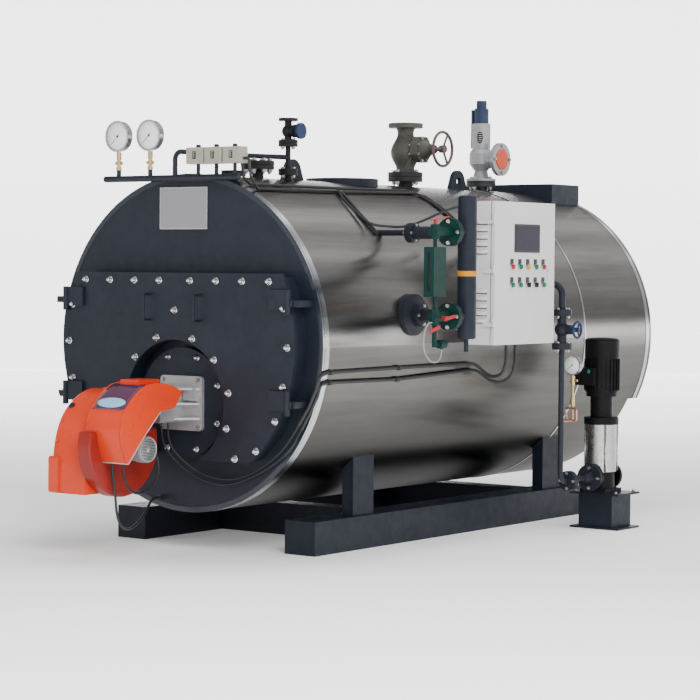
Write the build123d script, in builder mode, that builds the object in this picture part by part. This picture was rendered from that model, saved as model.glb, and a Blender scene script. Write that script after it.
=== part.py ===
from build123d import *
import os
from math import radians, sqrt, tan

# Packaged steam boiler on a steel skid, with its burner, fittings, water gauge,
# control cabinet and feed pump. Millimetres, +Z up, +Y from the burner end to the rear.
# The origin is on the floor, under the middle of the skid's front cross member.
# A depth is a distance behind the drum's front plate.

# Driving dimensions of the drum
front = -855
drum_radius = 800
drum_length = 3070
axis_height = 986
wall = 80
seam = 2338
end_plate = 20
trim_proud = 3
trim_width = 25
bead_width = 12
step_length = 105
step_height = axis_height - 359

# Smoke-box door and burner opening
door_radius = 714
door_centre = axis_height + 9
door_top = axis_height + 334
door_foot = axis_height - 541
door_depth = 100
door_plate = 22
mouth_radius = 300
burner_height = axis_height - 281
burner_plate_radius = 262
burner_plate_depth = 40

# Skid and legs
beam_outer = 615
beam_width = 178
beam_height = 160
beam_start = 195
beam_end = 2700
beam_wall = 10
cross_member_width = 120
front_cross = 855
rear_cross = 2300
leg_outer = 590
leg_width = 65
front_leg_start = 528
front_leg_length = 168
rear_leg_start = 2262
rear_leg_length = 207

# Steam fittings along the crest of the drum
crest = axis_height + drum_radius
flange_gap = 2
stub_depth = 522
stub_flange = 80
level_stub_x = 210
level_stub_depth = 75
vent_x = 70
vent_depth = 672
vent_flange = 48
vent_axis = crest + 235
manhole_depth = 1218
manhole_radius = 186
manhole_top = crest + 20
manhole_wall = 14
steam_depth = 1788
steam_axis = crest + 195
steam_top = crest + 337
steam_flange = 92.5
steam_flange_thickness = 24
steam_bore = 32.5
steam_bolt_circle = 145
steam_bolt_radius = 9
steam_wheel_x = 240
steam_wheel_radius = 98
safety_depth = 2532
safety_outlet = crest + 174
safety_flange = 82.5
lug_thickness = 24
lug_eye = 22
lug_eye_rise = 45
front_lug_depth = 795
rear_lug_depth = seam - 48

# Manifold with its pressure gauges and pressure controllers
manifold_depth = -45
manifold_z = crest - 19
manifold_radius = 15
gauge_radius = 75
gauge_z = crest + 186
gauge_positions = (-404, -204)
controller_positions = (95, 205, 316)
controller_z = crest + 82
controller_width = 104
controller_height = 77
sensing_z = crest + 107

# Water column, level gauge and their pipes
column_x = 1105
column_depth = 716
column_radius = 44.5
upper_tapping = axis_height + 533
lower_tapping = axis_height + 141
column_bottom = lower_tapping - 108
column_top = upper_tapping + 172
gauge_glass_depth = 448
cock_flange_depth = 573
cock_flange = 16
cock_flange_radius = 65

# Control cabinet
cabinet_front = 1043
cabinet_length = 555
cabinet_bottom = axis_height - 6
cabinet_height = 698
cabinet_top = cabinet_bottom + cabinet_height
cabinet_outer = 1050
cabinet_depth = 160
cabinet_sheet = 3
door_thickness = 20
door_gap = 5
knuckle = 6
knuckle_height = 20
knuckle_gap = 0.5
hinge_pin = 3
hinge_fit = 0.1
hinge_leaf = 3
hinge_axis = cabinet_front - 9

# Feed line and pump
pump_x = 1035
pump_depth = 2115
port_height = 270
riser_depth = 1705
riser_radius = 14
feed_inlet_height = axis_height + 290
feed_valve_height = axis_height + 59
feed_flange = 50
feed_flange_thickness = 16
feed_wheel_x = 1125
feed_wheel_radius = 46
feed_gauge_depth = 1820
feed_gauge_height = 860
feed_gauge_radius = 50
siphon_height = 608
siphon_radius = 32
stand_x = 1038
stand_depth = 2154
stand_width = 288
stand_length = 228
stand_height = 188
stand_plate = 10
port_reach = 104
port_flange = 70
port_thickness = 18
sleeve_radius = 80
sleeve_foot = 298
sleeve_top = 544

# Flue outlet on the rear smoke box
flue_half_width = 330
flue_start = 2757
flue_end = 3050
flue_top = crest + 42
flue_sheet = 8

# Cables
conduit_radius = 8
conduit_reach = drum_radius + trim_proud + conduit_radius + 0.5
cable_reach = drum_radius + 8.5


def level(height):
    """Horizontal plane at a height."""
    return Plane.XY.offset(height)


def facing_front(depth):
    """Plane across the boiler, a distance behind the front plate, facing the burner end."""
    return Plane(origin=(0, front + depth, 0), x_dir=(1, 0, 0), z_dir=(0, -1, 0))


def facing_side(x):
    """Upright plane along the boiler, facing the gauge side."""
    return Plane(origin=(x, 0, 0), x_dir=(0, 1, 0), z_dir=(1, 0, 0))


def spot(x, depth, z, axis=(0, 0, 1)):
    """A local frame at a point, whose Z axis is the given direction."""
    return Plane(origin=(x, front + depth, z), z_dir=axis)


def rod(radius, length):
    """A cylinder that starts at the local origin."""
    Cylinder(radius, length, align=(Align.CENTER, Align.CENTER, Align.MIN))


def cone(radius, end_radius, length):
    """A taper that starts at the local origin."""
    Cone(radius, end_radius, length, align=(Align.CENTER, Align.CENTER, Align.MIN))


def pipe(points, radius, bend):
    """A round pipe of straight runs joined by bends."""
    with BuildLine() as run:
        FilletPolyline(*points, radius=bend)
    with BuildSketch(Plane(origin=run.line @ 0, z_dir=run.line % 0)) as section:
        Circle(radius)
    sweep(section.sketch, path=run.wire())


def flange_pair(radius, thickness):
    """Two bolted flanges with a gasket between them, from the local origin."""
    rod(radius, thickness)
    rod(0.6 * radius, 2 * thickness + flange_gap)
    with Locations((0, 0, thickness + flange_gap)):
        rod(radius, thickness)


def seat_on_drum(depth, reach):
    """Cut a fitting away where it would enter the cladding."""
    with Locations(spot(0, depth - reach, axis_height, (0, 1, 0))):
        Cylinder(drum_radius, 2 * reach, align=(Align.CENTER, Align.CENTER, Align.MIN),
                 mode=Mode.SUBTRACT)


def route(points):
    """Points given as across, depth and height, in the part's own axes."""
    return [(x, front + depth, z) for x, depth, z in points]


def along(x, depth, reach):
    """A point above the crest side, at a distance from the drum's axis."""
    return (x, depth, axis_height + sqrt(reach ** 2 - x ** 2))


def beside(z, depth, reach):
    """A point on the gauge side, at a distance from the drum's axis."""
    return (sqrt(reach ** 2 - (z - axis_height) ** 2), depth, z)


def cord(name, points, radius):
    """A hanging cable: short runs joined by the largest arcs that they allow."""
    path = [Vector(*point) for point in route(points)]
    bends = []
    for before, here, after in zip(path, path[1:], path[2:]):
        first = here - before
        second = after - here
        turn = radians(first.get_angle(second))
        bends.append(0.45 * min(first.length, second.length) / tan(turn / 2))
    print(name, "bend radii", [round(bend) for bend in bends])
    with BuildPart() as cable:
        with BuildLine() as run:
            FilletPolyline(*path, radius=bends)
        with BuildSketch(Plane(origin=run.line @ 0, z_dir=run.line % 0)) as section:
            Circle(radius)
        sweep(section.sketch, path=run.wire())
    save(cable, name)


def save(builder, name):
    """Label a finished piece and write it."""
    builder.part.label = name
    export_step(builder.part, f"parts/{name}.step")


os.makedirs("parts", exist_ok=True)


# The drum: clad shell, ends and trim

def cut_duct(inset):
    """Open the drum's upper side for the flue duct."""
    with Locations((0, front + (flue_start + flue_end) / 2, axis_height)):
        Box(2 * (flue_half_width - inset), flue_end - flue_start - 2 * inset, 2 * drum_radius,
            align=(Align.CENTER, Align.CENTER, Align.MIN), mode=Mode.SUBTRACT)


def make_shell(name, start, end):
    with BuildPart() as shell:
        with BuildSketch(facing_front(start)):
            with Locations((0, axis_height)):
                Circle(drum_radius)
                Circle(drum_radius - wall, mode=Mode.SUBTRACT)
        extrude(amount=start - end)
        cut_duct(flue_sheet)
        if start >= drum_length - step_length:
            with Locations((0, front + start, step_height)):
                Box(3 * drum_radius, 2 * step_length, drum_radius,
                    align=(Align.CENTER, Align.CENTER, Align.MAX), mode=Mode.SUBTRACT)
    save(shell, name)


make_shell("shell_front", end_plate, seam)
make_shell("shell_rear", seam, drum_length - step_length)
make_shell("smoke_box_shell", drum_length - step_length, drum_length)

with BuildPart() as front_plate:
    with BuildSketch(facing_front(end_plate)):
        with Locations((0, axis_height)):
            Circle(drum_radius - trim_width + trim_proud)
    extrude(amount=end_plate)
save(front_plate, "front_plate")

with BuildPart() as rear_end:
    inside = drum_radius - wall
    low_face = front + drum_length - step_length
    rear_face = front + drum_length
    with BuildSketch(facing_side(0)):
        with BuildLine():
            Polyline(
                (low_face - end_plate, axis_height - inside),
                (low_face, axis_height - inside),
                (low_face, step_height - end_plate),
                (rear_face, step_height - end_plate),
                (rear_face, axis_height + inside),
                (rear_face - end_plate, axis_height + inside),
                (rear_face - end_plate, step_height),
                (low_face - end_plate, step_height),
                close=True,
            )
        make_face()
    extrude(amount=inside, both=True)
    with Locations(spot(0, seam, axis_height, (0, 1, 0))):
        Cylinder(inside, drum_length, align=(Align.CENTER, Align.CENTER, Align.MIN),
                 mode=Mode.INTERSECT)
    with BuildSketch(facing_front(drum_length)):
        with Locations((0, axis_height)):
            Circle(inside - 60)
        with Locations((0, step_height + 60)):
            Rectangle(2 * drum_radius, drum_radius, align=(Align.CENTER, Align.MAX),
                      mode=Mode.SUBTRACT)
    extrude(amount=-15)
save(rear_end, "rear_end")


# Smoke-box door and its frame

def horseshoe(reduce, mouth):
    """The door's outline: a disc cut off above and below, open round the burner."""
    with Locations((0, door_centre)):
        Circle(door_radius - reduce)
    with Locations((0, door_top - reduce)):
        Rectangle(2 * door_radius, door_radius, align=(Align.CENTER, Align.MIN),
                  mode=Mode.SUBTRACT)
    with Locations((0, door_foot + reduce)):
        Rectangle(2 * door_radius, door_radius, align=(Align.CENTER, Align.MAX),
                  mode=Mode.SUBTRACT)
    with Locations((0, burner_height)):
        Circle(mouth, mode=Mode.SUBTRACT)


with BuildPart() as smoke_box_door:
    with BuildSketch(facing_front(door_plate - door_depth)) as door_outline:
        horseshoe(0, mouth_radius)
    extrude(amount=door_plate)
save(smoke_box_door, "smoke_box_door")

with BuildPart() as smoke_box_frame:
    with BuildSketch(facing_front(0)):
        horseshoe(12, mouth_radius + 8)
    extrude(amount=door_depth - door_plate)
save(smoke_box_frame, "smoke_box_frame")

hinge_x = 684
hinge_depth = 75
hinge_heights = (1191, 732)

with BuildPart() as door_hinges:
    for side in (-1, 1):
        for height in hinge_heights:
            barrel_x = side * hinge_x
            with Locations(spot(barrel_x, -door_depth - 14, height - 57)):
                rod(14, 114)
            with Locations((barrel_x - side * 60, front - door_depth - 8, height + 10)):
                Box(100, 16, 92)
            with Locations((barrel_x + side * 37, front - (door_depth + 14) / 2, height - 6)):
                Box(45, door_depth + 14, 30)
            with Locations((barrel_x + side * 15, front - door_depth - 10, height - 6)):
                Box(30, 20, 30)
    with Locations(spot(0, -2 * door_depth, axis_height, (0, 1, 0))):
        Cylinder(drum_radius - trim_width, 2 * door_depth, mode=Mode.INTERSECT,
                 align=(Align.CENTER, Align.CENTER, Align.MIN))
save(door_hinges, "door_hinges")

with BuildPart() as door_handles:
    for x in (-150, 158):
        grip = [
            (x, front - door_depth, 1217),
            (x, front - door_depth - 50, 1217),
            (x, front - door_depth - 50, 1097),
            (x, front - door_depth, 1097),
        ]
        pipe(grip, 6, 14)
save(door_handles, "door_handles")

# Burner on its mounting plate

with BuildPart() as burner_plate:
    with BuildSketch(facing_front(0)):
        with Locations((0, burner_height)):
            Circle(burner_plate_radius)
    extrude(amount=burner_plate_depth)
save(burner_plate, "burner_plate")

# Burner housings: the hood over the head, the fan housing beside it and the scroll below

hood_half_width = 113
fan_left = -325
hood_crown = ((-172, 766), (-245, 797), (-343, 811), (-428, 798), (-504, 750), (-564, 682),
              (-586, 622), (-582, 551), (-547, 453))
hood_side = ((-419, 593), (-326, 680), (-224, 696))
fan_crown = ((-594, 300), (-590, 440), (-568, 569), (-516, 670), (-456, 724), (-380, 763),
             (-288, 773))
fan_back = ((-288, 773), (-214, 706), (-174, 580), (-184, 450), (-240, 350), (-330, 300))
scroll_centre = (-400, 520)
scroll_radius = 238
scroll_width = 70
burner_axis = 705
hood_gland = burner_height - 225


def burner_point(depth, z):
    """A point of a side profile, carried by the burner's own height."""
    return (front + depth, z - burner_axis + burner_height)


with BuildPart() as burner_hood:
    with BuildSketch(facing_side(-hood_half_width)):
        with BuildLine():
            crown = Spline(*[burner_point(*point) for point in hood_crown])
            Polyline(crown @ 1, *[burner_point(*point) for point in hood_side], crown @ 0)
        make_face()
    extrude(amount=2 * hood_half_width)
    with BuildSketch(facing_side(-hood_half_width + 20)):
        with Locations(burner_point(-300, 812)):
            RectangleRounded(150, 26, 10)
    extrude(amount=hood_half_width)
    for x, depth in ((20, -475), (-22, -505)):
        with Locations(spot(x, depth, hood_gland)):
            rod(10, 70)
save(burner_hood, "burner_hood")

with BuildPart() as burner_fan:
    with BuildSketch(facing_side(fan_left)):
        with BuildLine():
            crown = Spline(*[burner_point(*point) for point in fan_crown])
            back = Spline(*[burner_point(*point) for point in fan_back])
            Line(back @ 1, crown @ 0)
        make_face()
    extrude(amount=-fan_left - hood_half_width)
    fillet(burner_fan.faces().sort_by(Axis.X)[0].edges(), 18)
    with BuildSketch(facing_side(fan_left - 6)):
        with Locations(burner_point(-520, 385)):
            RectangleRounded(166, 170, 14)
    extrude(amount=60)
save(burner_fan, "burner_fan")

mount_size = 257
mount_flange = 18
neck_width = 144
neck_height = 174
neck_length = 180
neck_centre = -38

with BuildPart() as burner_mount:
    with BuildSketch(facing_front(-burner_plate_depth)):
        with Locations((6, burner_height)):
            RectangleRounded(mount_size, mount_size, 20)
    extrude(amount=mount_flange)
    neck_start = -burner_plate_depth - mount_flange
    with BuildSketch(facing_front(neck_start)):
        with Locations((neck_centre, burner_height)):
            RectangleRounded(neck_width, neck_height, 16)
    extrude(amount=neck_length)
    neck_side = neck_centre + neck_width / 2
    for rise in (-70, 0, 70):
        with BuildSketch(level(burner_height + rise - 5)):
            with BuildLine():
                Polyline(
                    (neck_side, front + neck_start),
                    (neck_side + 86, front + neck_start),
                    (neck_side, front + neck_start - 80),
                    close=True,
                )
            make_face()
        extrude(amount=10)
    with Locations((neck_side + 40, front + neck_start - 12, burner_height + 44)):
        Box(70, 24, 60)
    add(burner_hood.part, mode=Mode.SUBTRACT)
save(burner_mount, "burner_mount")

with BuildPart() as burner_scroll:
    with BuildSketch(facing_side(-hood_half_width)):
        with Locations(burner_point(*scroll_centre)):
            Circle(scroll_radius)
        with Locations(burner_point(-419, 593)):
            Rectangle(600, 400, align=(Align.CENTER, Align.MIN), mode=Mode.SUBTRACT)
    extrude(amount=scroll_width)
    fillet(burner_scroll.faces().sort_by(Axis.X)[-1].edges(), 12)
    add(burner_hood.part, mode=Mode.SUBTRACT)
    add(burner_mount.part, mode=Mode.SUBTRACT)
save(burner_scroll, "burner_scroll")

motor_depth = -386
motor_height = burner_height - 197
motor_radius = 56
cowl_radius = 61.5

with BuildPart() as burner_motor:
    motor_start = scroll_width - hood_half_width
    with Locations(spot(motor_start, motor_depth, motor_height, (1, 0, 0))):
        rod(motor_radius, 84)
    with Locations(spot(motor_start + 84, motor_depth, motor_height, (1, 0, 0))):
        rod(cowl_radius, 50)
    chamfer(burner_motor.faces().sort_by(Axis.X)[-1].edges(), 6)
    with Locations(spot(20, motor_depth, motor_height - 18, (0, 1, 0))):
        rod(10, -315 - motor_depth)
    add(burner_hood.part, mode=Mode.SUBTRACT)
save(burner_motor, "burner_motor")


# Lifting lugs and cladding trim

with BuildPart() as lifting_lugs:
    for depth in (front_lug_depth, rear_lug_depth):
        with BuildSketch(facing_side(-lug_thickness / 2)):
            with Locations((front + depth, crest + lug_eye_rise)):
                Circle(60)
            with BuildLine():
                Polyline(
                    (front + depth - 82, crest - 15),
                    (front + depth + 82, crest - 15),
                    (front + depth + 82, crest + 4),
                    (front + depth + 58, crest + lug_eye_rise + 16),
                    (front + depth - 58, crest + lug_eye_rise + 16),
                    (front + depth - 82, crest + 4),
                    close=True,
                )
            make_face()
            with Locations((front + depth, crest + lug_eye_rise)):
                Circle(lug_eye, mode=Mode.SUBTRACT)
        extrude(amount=lug_thickness)
        seat_on_drum(depth, 100)
save(lifting_lugs, "lifting_lugs")

with BuildPart() as cladding_trim:
    with BuildSketch(facing_front(end_plate)):
        with Locations((0, axis_height)):
            Circle(drum_radius + trim_proud)
            Circle(drum_radius - trim_width + trim_proud, mode=Mode.SUBTRACT)
    extrude(amount=end_plate + trim_proud)
    rear_ring = drum_length - 60
    for start, width in ((end_plate, trim_width), (seam - bead_width / 2, bead_width),
                         (rear_ring, 30)):
        with BuildSketch(facing_front(start)):
            with Locations((0, axis_height)):
                Circle(drum_radius + trim_proud)
                Circle(drum_radius, mode=Mode.SUBTRACT)
        extrude(amount=-width)
    with Locations((0, front + drum_length, step_height)):
        Box(3 * drum_radius, 2 * step_length, drum_radius,
            align=(Align.CENTER, Align.CENTER, Align.MAX), mode=Mode.SUBTRACT)
    cut_duct(0)
    add(lifting_lugs.part, mode=Mode.SUBTRACT)
save(cladding_trim, "cladding_trim")

# Skid and legs

with BuildPart() as skid_beams:
    for side in (-1, 1):
        middle = side * (beam_outer - beam_width / 2)
        with BuildSketch(facing_front(beam_start)):
            with Locations((middle, beam_height / 2)):
                Rectangle(beam_width, beam_height)
                Rectangle(beam_width - 2 * beam_wall, beam_height - 2 * beam_wall,
                          mode=Mode.SUBTRACT)
        extrude(amount=beam_start - beam_end)
        for depth in (beam_start, beam_end - beam_wall):
            with Locations((middle, front + depth, beam_height / 2)):
                Box(beam_width, beam_wall, beam_height,
                    align=(Align.CENTER, Align.MIN, Align.CENTER))
save(skid_beams, "skid_beams")

with BuildPart() as skid_cross_members:
    for depth in (front_cross, rear_cross):
        with Locations((0, front + depth, 0)):
            Box(2 * (beam_outer - beam_width), cross_member_width, beam_height,
                align=(Align.CENTER, Align.CENTER, Align.MIN))
save(skid_cross_members, "skid_cross_members")

with BuildPart() as saddle_legs:
    for start, length in ((front_leg_start, front_leg_length), (rear_leg_start, rear_leg_length)):
        for side in (-1, 1):
            with BuildSketch(level(beam_height)):
                with Locations((side * (leg_outer - leg_width / 2), front + start + length / 2)):
                    Rectangle(leg_width, length)
            extrude(amount=axis_height - beam_height)
        seat_on_drum(start + length / 2, length)
    add(cladding_trim.part, mode=Mode.SUBTRACT)
save(saddle_legs, "saddle_legs")


# Fittings on the crest

with BuildPart() as blank_nozzles:
    with Locations(spot(0, stub_depth, crest - 10)):
        rod(28, 52)
    with Locations(spot(0, stub_depth, crest + 42)):
        flange_pair(stub_flange, 20)
    seat_on_drum(stub_depth, 100)
    with Locations(spot(level_stub_x, level_stub_depth, crest - 60)):
        rod(24, 60)
    with Locations(spot(level_stub_x, level_stub_depth, crest - 10)):
        rod(58, 26)
    seat_on_drum(level_stub_depth, 50)
save(blank_nozzles, "blank_nozzles")

with BuildPart() as manhole:
    with Locations(spot(0, manhole_depth, manhole_top)):
        Cylinder(manhole_radius, 100, align=(Align.CENTER, Align.CENTER, Align.MAX))
        Cylinder(manhole_radius - manhole_wall, 16, mode=Mode.SUBTRACT,
                 align=(Align.CENTER, Align.CENTER, Align.MAX))
    seat_on_drum(manhole_depth, 300)
save(manhole, "manhole")


def handwheel(x, depth, z, rim_radius, rim_thickness, hub_radius, spokes, stem_radius, stem_start):
    """A wheel that faces the gauge side, with its stem back to the bonnet."""
    with Locations(spot(x, depth, z, (1, 0, 0))):
        Torus(rim_radius - rim_thickness, rim_thickness)
        Cylinder(hub_radius, 4 * rim_thickness)
        with PolarLocations(rim_radius / 2, spokes, start_angle=90):
            Cylinder(rim_thickness * 0.75, rim_radius - rim_thickness, rotation=(0, 90, 0))
    with Locations(spot(stem_start, depth, z, (1, 0, 0))):
        rod(stem_radius, x - stem_start)


with BuildPart() as vent_valve:
    with Locations(spot(vent_x, vent_depth, crest - 20)):
        rod(17, 40)
    for rise in (18, 160):
        with Locations(spot(vent_x, vent_depth, crest + rise)):
            flange_pair(vent_flange, 15)
    with Locations(spot(vent_x, vent_depth, crest + 32)):
        rod(13, 130)
    with Locations(spot(vent_x, vent_depth, crest + 192)):
        rod(18, 96)
    with Locations((vent_x, front + vent_depth, vent_axis)):
        Sphere(32)
    with Locations(spot(vent_x, vent_depth, crest + 286)):
        rod(vent_flange, 14)
    with Locations(spot(vent_x, vent_depth, vent_axis, (1, 0, 0))):
        rod(24, 48)
    with Locations(spot(vent_x + 36, vent_depth, vent_axis, (1, 0, 0))):
        rod(32, 14)
    with Locations(spot(vent_x + 24, vent_depth, vent_axis, (1, 0, 0))):
        Cylinder(6.1, 40, align=(Align.CENTER, Align.CENTER, Align.MIN), mode=Mode.SUBTRACT)
    seat_on_drum(vent_depth, 60)
save(vent_valve, "vent_valve")

with BuildPart() as vent_handwheel:
    with Locations(spot(vent_x + 78, vent_depth, vent_axis, (1, 0, 0))):
        Cylinder(40, 14)
    with Locations(spot(vent_x + 30, vent_depth, vent_axis, (1, 0, 0))):
        rod(6, 50)
save(vent_handwheel, "vent_handwheel")

bonnet_start = 88

with BuildPart() as main_valve:
    with Locations(spot(0, steam_depth, crest - 10)):
        rod(38, 40)
    with Locations(spot(0, steam_depth, crest + 26)):
        flange_pair(steam_flange, steam_flange_thickness)
    with BuildSketch(Plane(origin=(0, front + steam_depth, crest), x_dir=(1, 0, 0),
                           z_dir=(0, -1, 0))) as body:
        with BuildLine():
            waist = Spline((58, 69), (49, 99), (70, 144), (79, 182), (70, 220), (47, 264),
                           (56, 318))
            Polyline(waist @ 1, (0, 318), (0, 69), waist @ 0)
        make_face()
    revolve(body.sketch, axis=Axis((0, front + steam_depth, 0), (0, 0, 1)))
    with Locations(spot(0, steam_depth, steam_top)):
        Cylinder(steam_flange, steam_flange_thickness,
                 align=(Align.CENTER, Align.CENTER, Align.MAX))
    with Locations(spot(0, steam_depth, steam_axis, (1, 0, 0))):
        rod(56, bonnet_start)
    with BuildSketch(facing_side(bonnet_start - 12)):
        with Locations((front + steam_depth, steam_axis)):
            RegularPolygon(74, 8, rotation=22.5)
    extrude(amount=44)
    with Locations(spot(bonnet_start + 32, steam_depth, steam_axis, (1, 0, 0))):
        cone(56, 26, 48)
    with Locations(spot(bonnet_start + 80, steam_depth, steam_axis, (1, 0, 0))):
        rod(22, 26)
    with Locations(spot(bonnet_start + 60, steam_depth, steam_axis, (1, 0, 0))):
        Cylinder(11.1, 60, align=(Align.CENTER, Align.CENTER, Align.MIN), mode=Mode.SUBTRACT)
    with Locations(spot(0, steam_depth, steam_top)):
        Cylinder(steam_bore, 70, align=(Align.CENTER, Align.CENTER, Align.MAX),
                 mode=Mode.SUBTRACT)
        with PolarLocations(steam_bolt_circle / 2, 4, start_angle=45):
            Cylinder(steam_bolt_radius, steam_flange_thickness, mode=Mode.SUBTRACT,
                     align=(Align.CENTER, Align.CENTER, Align.MAX))
    seat_on_drum(steam_depth, 60)
save(main_valve, "main_steam_valve")

with BuildPart() as main_handwheel:
    handwheel(steam_wheel_x, steam_depth, steam_axis, steam_wheel_radius, 8, 20, 3, 11,
              bonnet_start + 66)
save(main_handwheel, "main_handwheel")

outlet_reach = 138

with BuildPart() as safety_valve:
    with Locations(spot(0, safety_depth, crest - 10)):
        rod(34, 40)
    with Locations(spot(0, safety_depth, crest + 22)):
        flange_pair(safety_flange, 22)
    with Locations(spot(0, safety_depth, crest + 66)):
        cone(48, 34, 50)
    with Locations(spot(0, safety_depth, crest + 109)):
        cone(34, 66, 40)
    with Locations(spot(0, safety_depth, crest + 149)):
        rod(66, 60)
    with Locations(spot(0, safety_depth, crest + 209)):
        cone(66, 54, 20)
    with Locations(spot(0, safety_depth, safety_outlet, (1, 0, 0))):
        rod(48, outlet_reach - 22)
    with Locations(spot(outlet_reach - 22, safety_depth, safety_outlet, (1, 0, 0))):
        rod(92, 22)
    with Locations(spot(0, safety_depth, crest + 229)):
        rod(51, 147)
    with Locations(spot(0, safety_depth, crest + 376)):
        rod(40, 84)
        Cylinder(29, 128, align=(Align.CENTER, Align.CENTER, Align.MIN))
    with Locations((-48, front + safety_depth, crest + 239)):
        Box(14, 44, 215, align=(Align.CENTER, Align.CENTER, Align.MIN))
    with Locations((-28, front + safety_depth, crest + 429)):
        Box(44, 30, 25, align=(Align.CENTER, Align.CENTER, Align.MIN))
    seat_on_drum(safety_depth, 60)
save(safety_valve, "safety_valve")

with BuildPart() as outlet_cover:
    with BuildSketch(facing_side(outlet_reach)):
        with Locations((front + safety_depth, safety_outlet)):
            RegularPolygon(62, 8, rotation=22.5)
    extrude(amount=4)
save(outlet_cover, "safety_outlet_cover")

with BuildPart() as flue_outlet:
    duct_length = flue_end - flue_start
    duct_middle = front + (flue_start + flue_end) / 2
    with Locations((0, duct_middle, flue_top)):
        Box(2 * flue_half_width, duct_length, 2 * drum_radius / 3,
            align=(Align.CENTER, Align.CENTER, Align.MAX))
        Box(2 * (flue_half_width - flue_sheet), duct_length - 2 * flue_sheet, 2 * drum_radius / 3,
            align=(Align.CENTER, Align.CENTER, Align.MAX), mode=Mode.SUBTRACT)
    with Locations(spot(0, seam, axis_height, (0, 1, 0))):
        Cylinder(drum_radius, drum_length, align=(Align.CENTER, Align.CENTER, Align.MIN),
                 mode=Mode.SUBTRACT)
save(flue_outlet, "flue_outlet")

# Manifold, gauges and controllers

manifold_start = -491
manifold_end = 340
cock_foot = 42

with BuildPart() as manifold:
    with Locations(spot(manifold_start, manifold_depth, manifold_z, (1, 0, 0))):
        rod(manifold_radius, manifold_end - manifold_start)
    for x in gauge_positions:
        with Locations(spot(x, manifold_depth, manifold_z)):
            rod(11, cock_foot)
    for x in controller_positions:
        with Locations(spot(x, manifold_depth, manifold_z)):
            rod(9, controller_z - controller_height / 2 - manifold_z)
    vent_line = [
        (-48, manifold_depth, manifold_z),
        (-48, manifold_depth, sensing_z),
        (-20, 409, sensing_z),
        (vent_x, vent_depth, sensing_z),
    ]
    pipe(route(vent_line), 12, 40)
    add(vent_valve.part, mode=Mode.SUBTRACT)
save(manifold, "gauge_manifold")

with BuildPart() as gauge_cocks:
    for x in gauge_positions:
        cock_length = gauge_z - gauge_radius - manifold_z - cock_foot
        with Locations(spot(x, manifold_depth, manifold_z + cock_foot)):
            rod(9, cock_length)
            rod(13, 16)
        with Locations(spot(x, manifold_depth, manifold_z + cock_foot + 24)):
            rod(14, 20)
        with Locations(spot(x, manifold_depth, manifold_z + cock_foot + 50)):
            rod(12, cock_length - 50)
        with Locations(spot(x - 20, manifold_depth, manifold_z + cock_foot + 34, (1, 0, 0))):
            rod(7, 40)
save(gauge_cocks, "gauge_cocks")

with BuildPart() as pressure_gauges:
    for x in gauge_positions:
        with Locations(spot(x, manifold_depth + 17, gauge_z, (0, -1, 0))):
            rod(gauge_radius - 3, 28)
        with Locations(spot(x, manifold_depth - 9, gauge_z, (0, -1, 0))):
            rod(gauge_radius, 8)
            Cylinder(gauge_radius - 8, 20, mode=Mode.SUBTRACT,
                     align=(Align.CENTER, Align.CENTER, Align.MIN))
save(pressure_gauges, "pressure_gauges")

with BuildPart() as controllers:
    for x in controller_positions:
        with BuildSketch(level(controller_z - controller_height / 2)):
            with Locations((x, front + manifold_depth)):
                RectangleRounded(controller_width, 64, 6)
        extrude(amount=controller_height)
save(controllers, "pressure_controllers")


# Water column with its pipes, level gauge and cocks

with BuildPart() as column_pipes:
    with Locations(spot(560, column_depth, upper_tapping, (1, 0, 0))):
        rod(14, 215)
    with Locations(spot(774, column_depth, upper_tapping, (1, 0, 0))):
        flange_pair(48, 16)
    with Locations(spot(806, column_depth, upper_tapping, (1, 0, 0))):
        rod(30, column_x - 806)
    with Locations(spot(700, column_depth, lower_tapping, (1, 0, 0))):
        rod(100, 112)
    with Locations(spot(812, column_depth, lower_tapping, (1, 0, 0))):
        cone(100, 60, 14)
        rod(38, 40)
    with Locations(spot(826, column_depth, lower_tapping, (1, 0, 0))):
        flange_pair(52, 16)
    with Locations(spot(842, column_depth, lower_tapping, (1, 0, 0))):
        rod(30, column_x - 842)
    seat_on_drum(column_depth, 200)
    with Locations(spot(column_x, column_depth, 0)):
        Cylinder(column_radius, 3 * drum_radius, align=(Align.CENTER, Align.CENTER, Align.MIN),
                 mode=Mode.SUBTRACT)
save(column_pipes, "column_pipes")

with BuildPart() as water_column:
    with Locations(spot(column_x, column_depth, column_bottom)):
        rod(column_radius, column_top - column_bottom)
    chamfer(water_column.edges().filter_by(GeomType.CIRCLE), 6)
    for height in (upper_tapping, lower_tapping):
        with Locations(spot(column_x, column_depth, height, (0, -1, 0))):
            rod(20, column_depth - cock_flange_depth)
        with Locations(spot(column_x, cock_flange_depth + cock_flange, height, (0, -1, 0))):
            rod(cock_flange_radius, cock_flange)
    with Locations(spot(column_x, column_depth, column_bottom - 60)):
        rod(11, 70)
save(water_column, "water_column")

protector_width = 56
protector_length = 100
protector_height = 230
protector_sheet = 3
protector_middle = (upper_tapping + lower_tapping) / 2 + 11
cock_length = cock_flange_depth - gauge_glass_depth + 20
drain_height = lower_tapping - 127
nozzle_height = lower_tapping - 27

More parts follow.
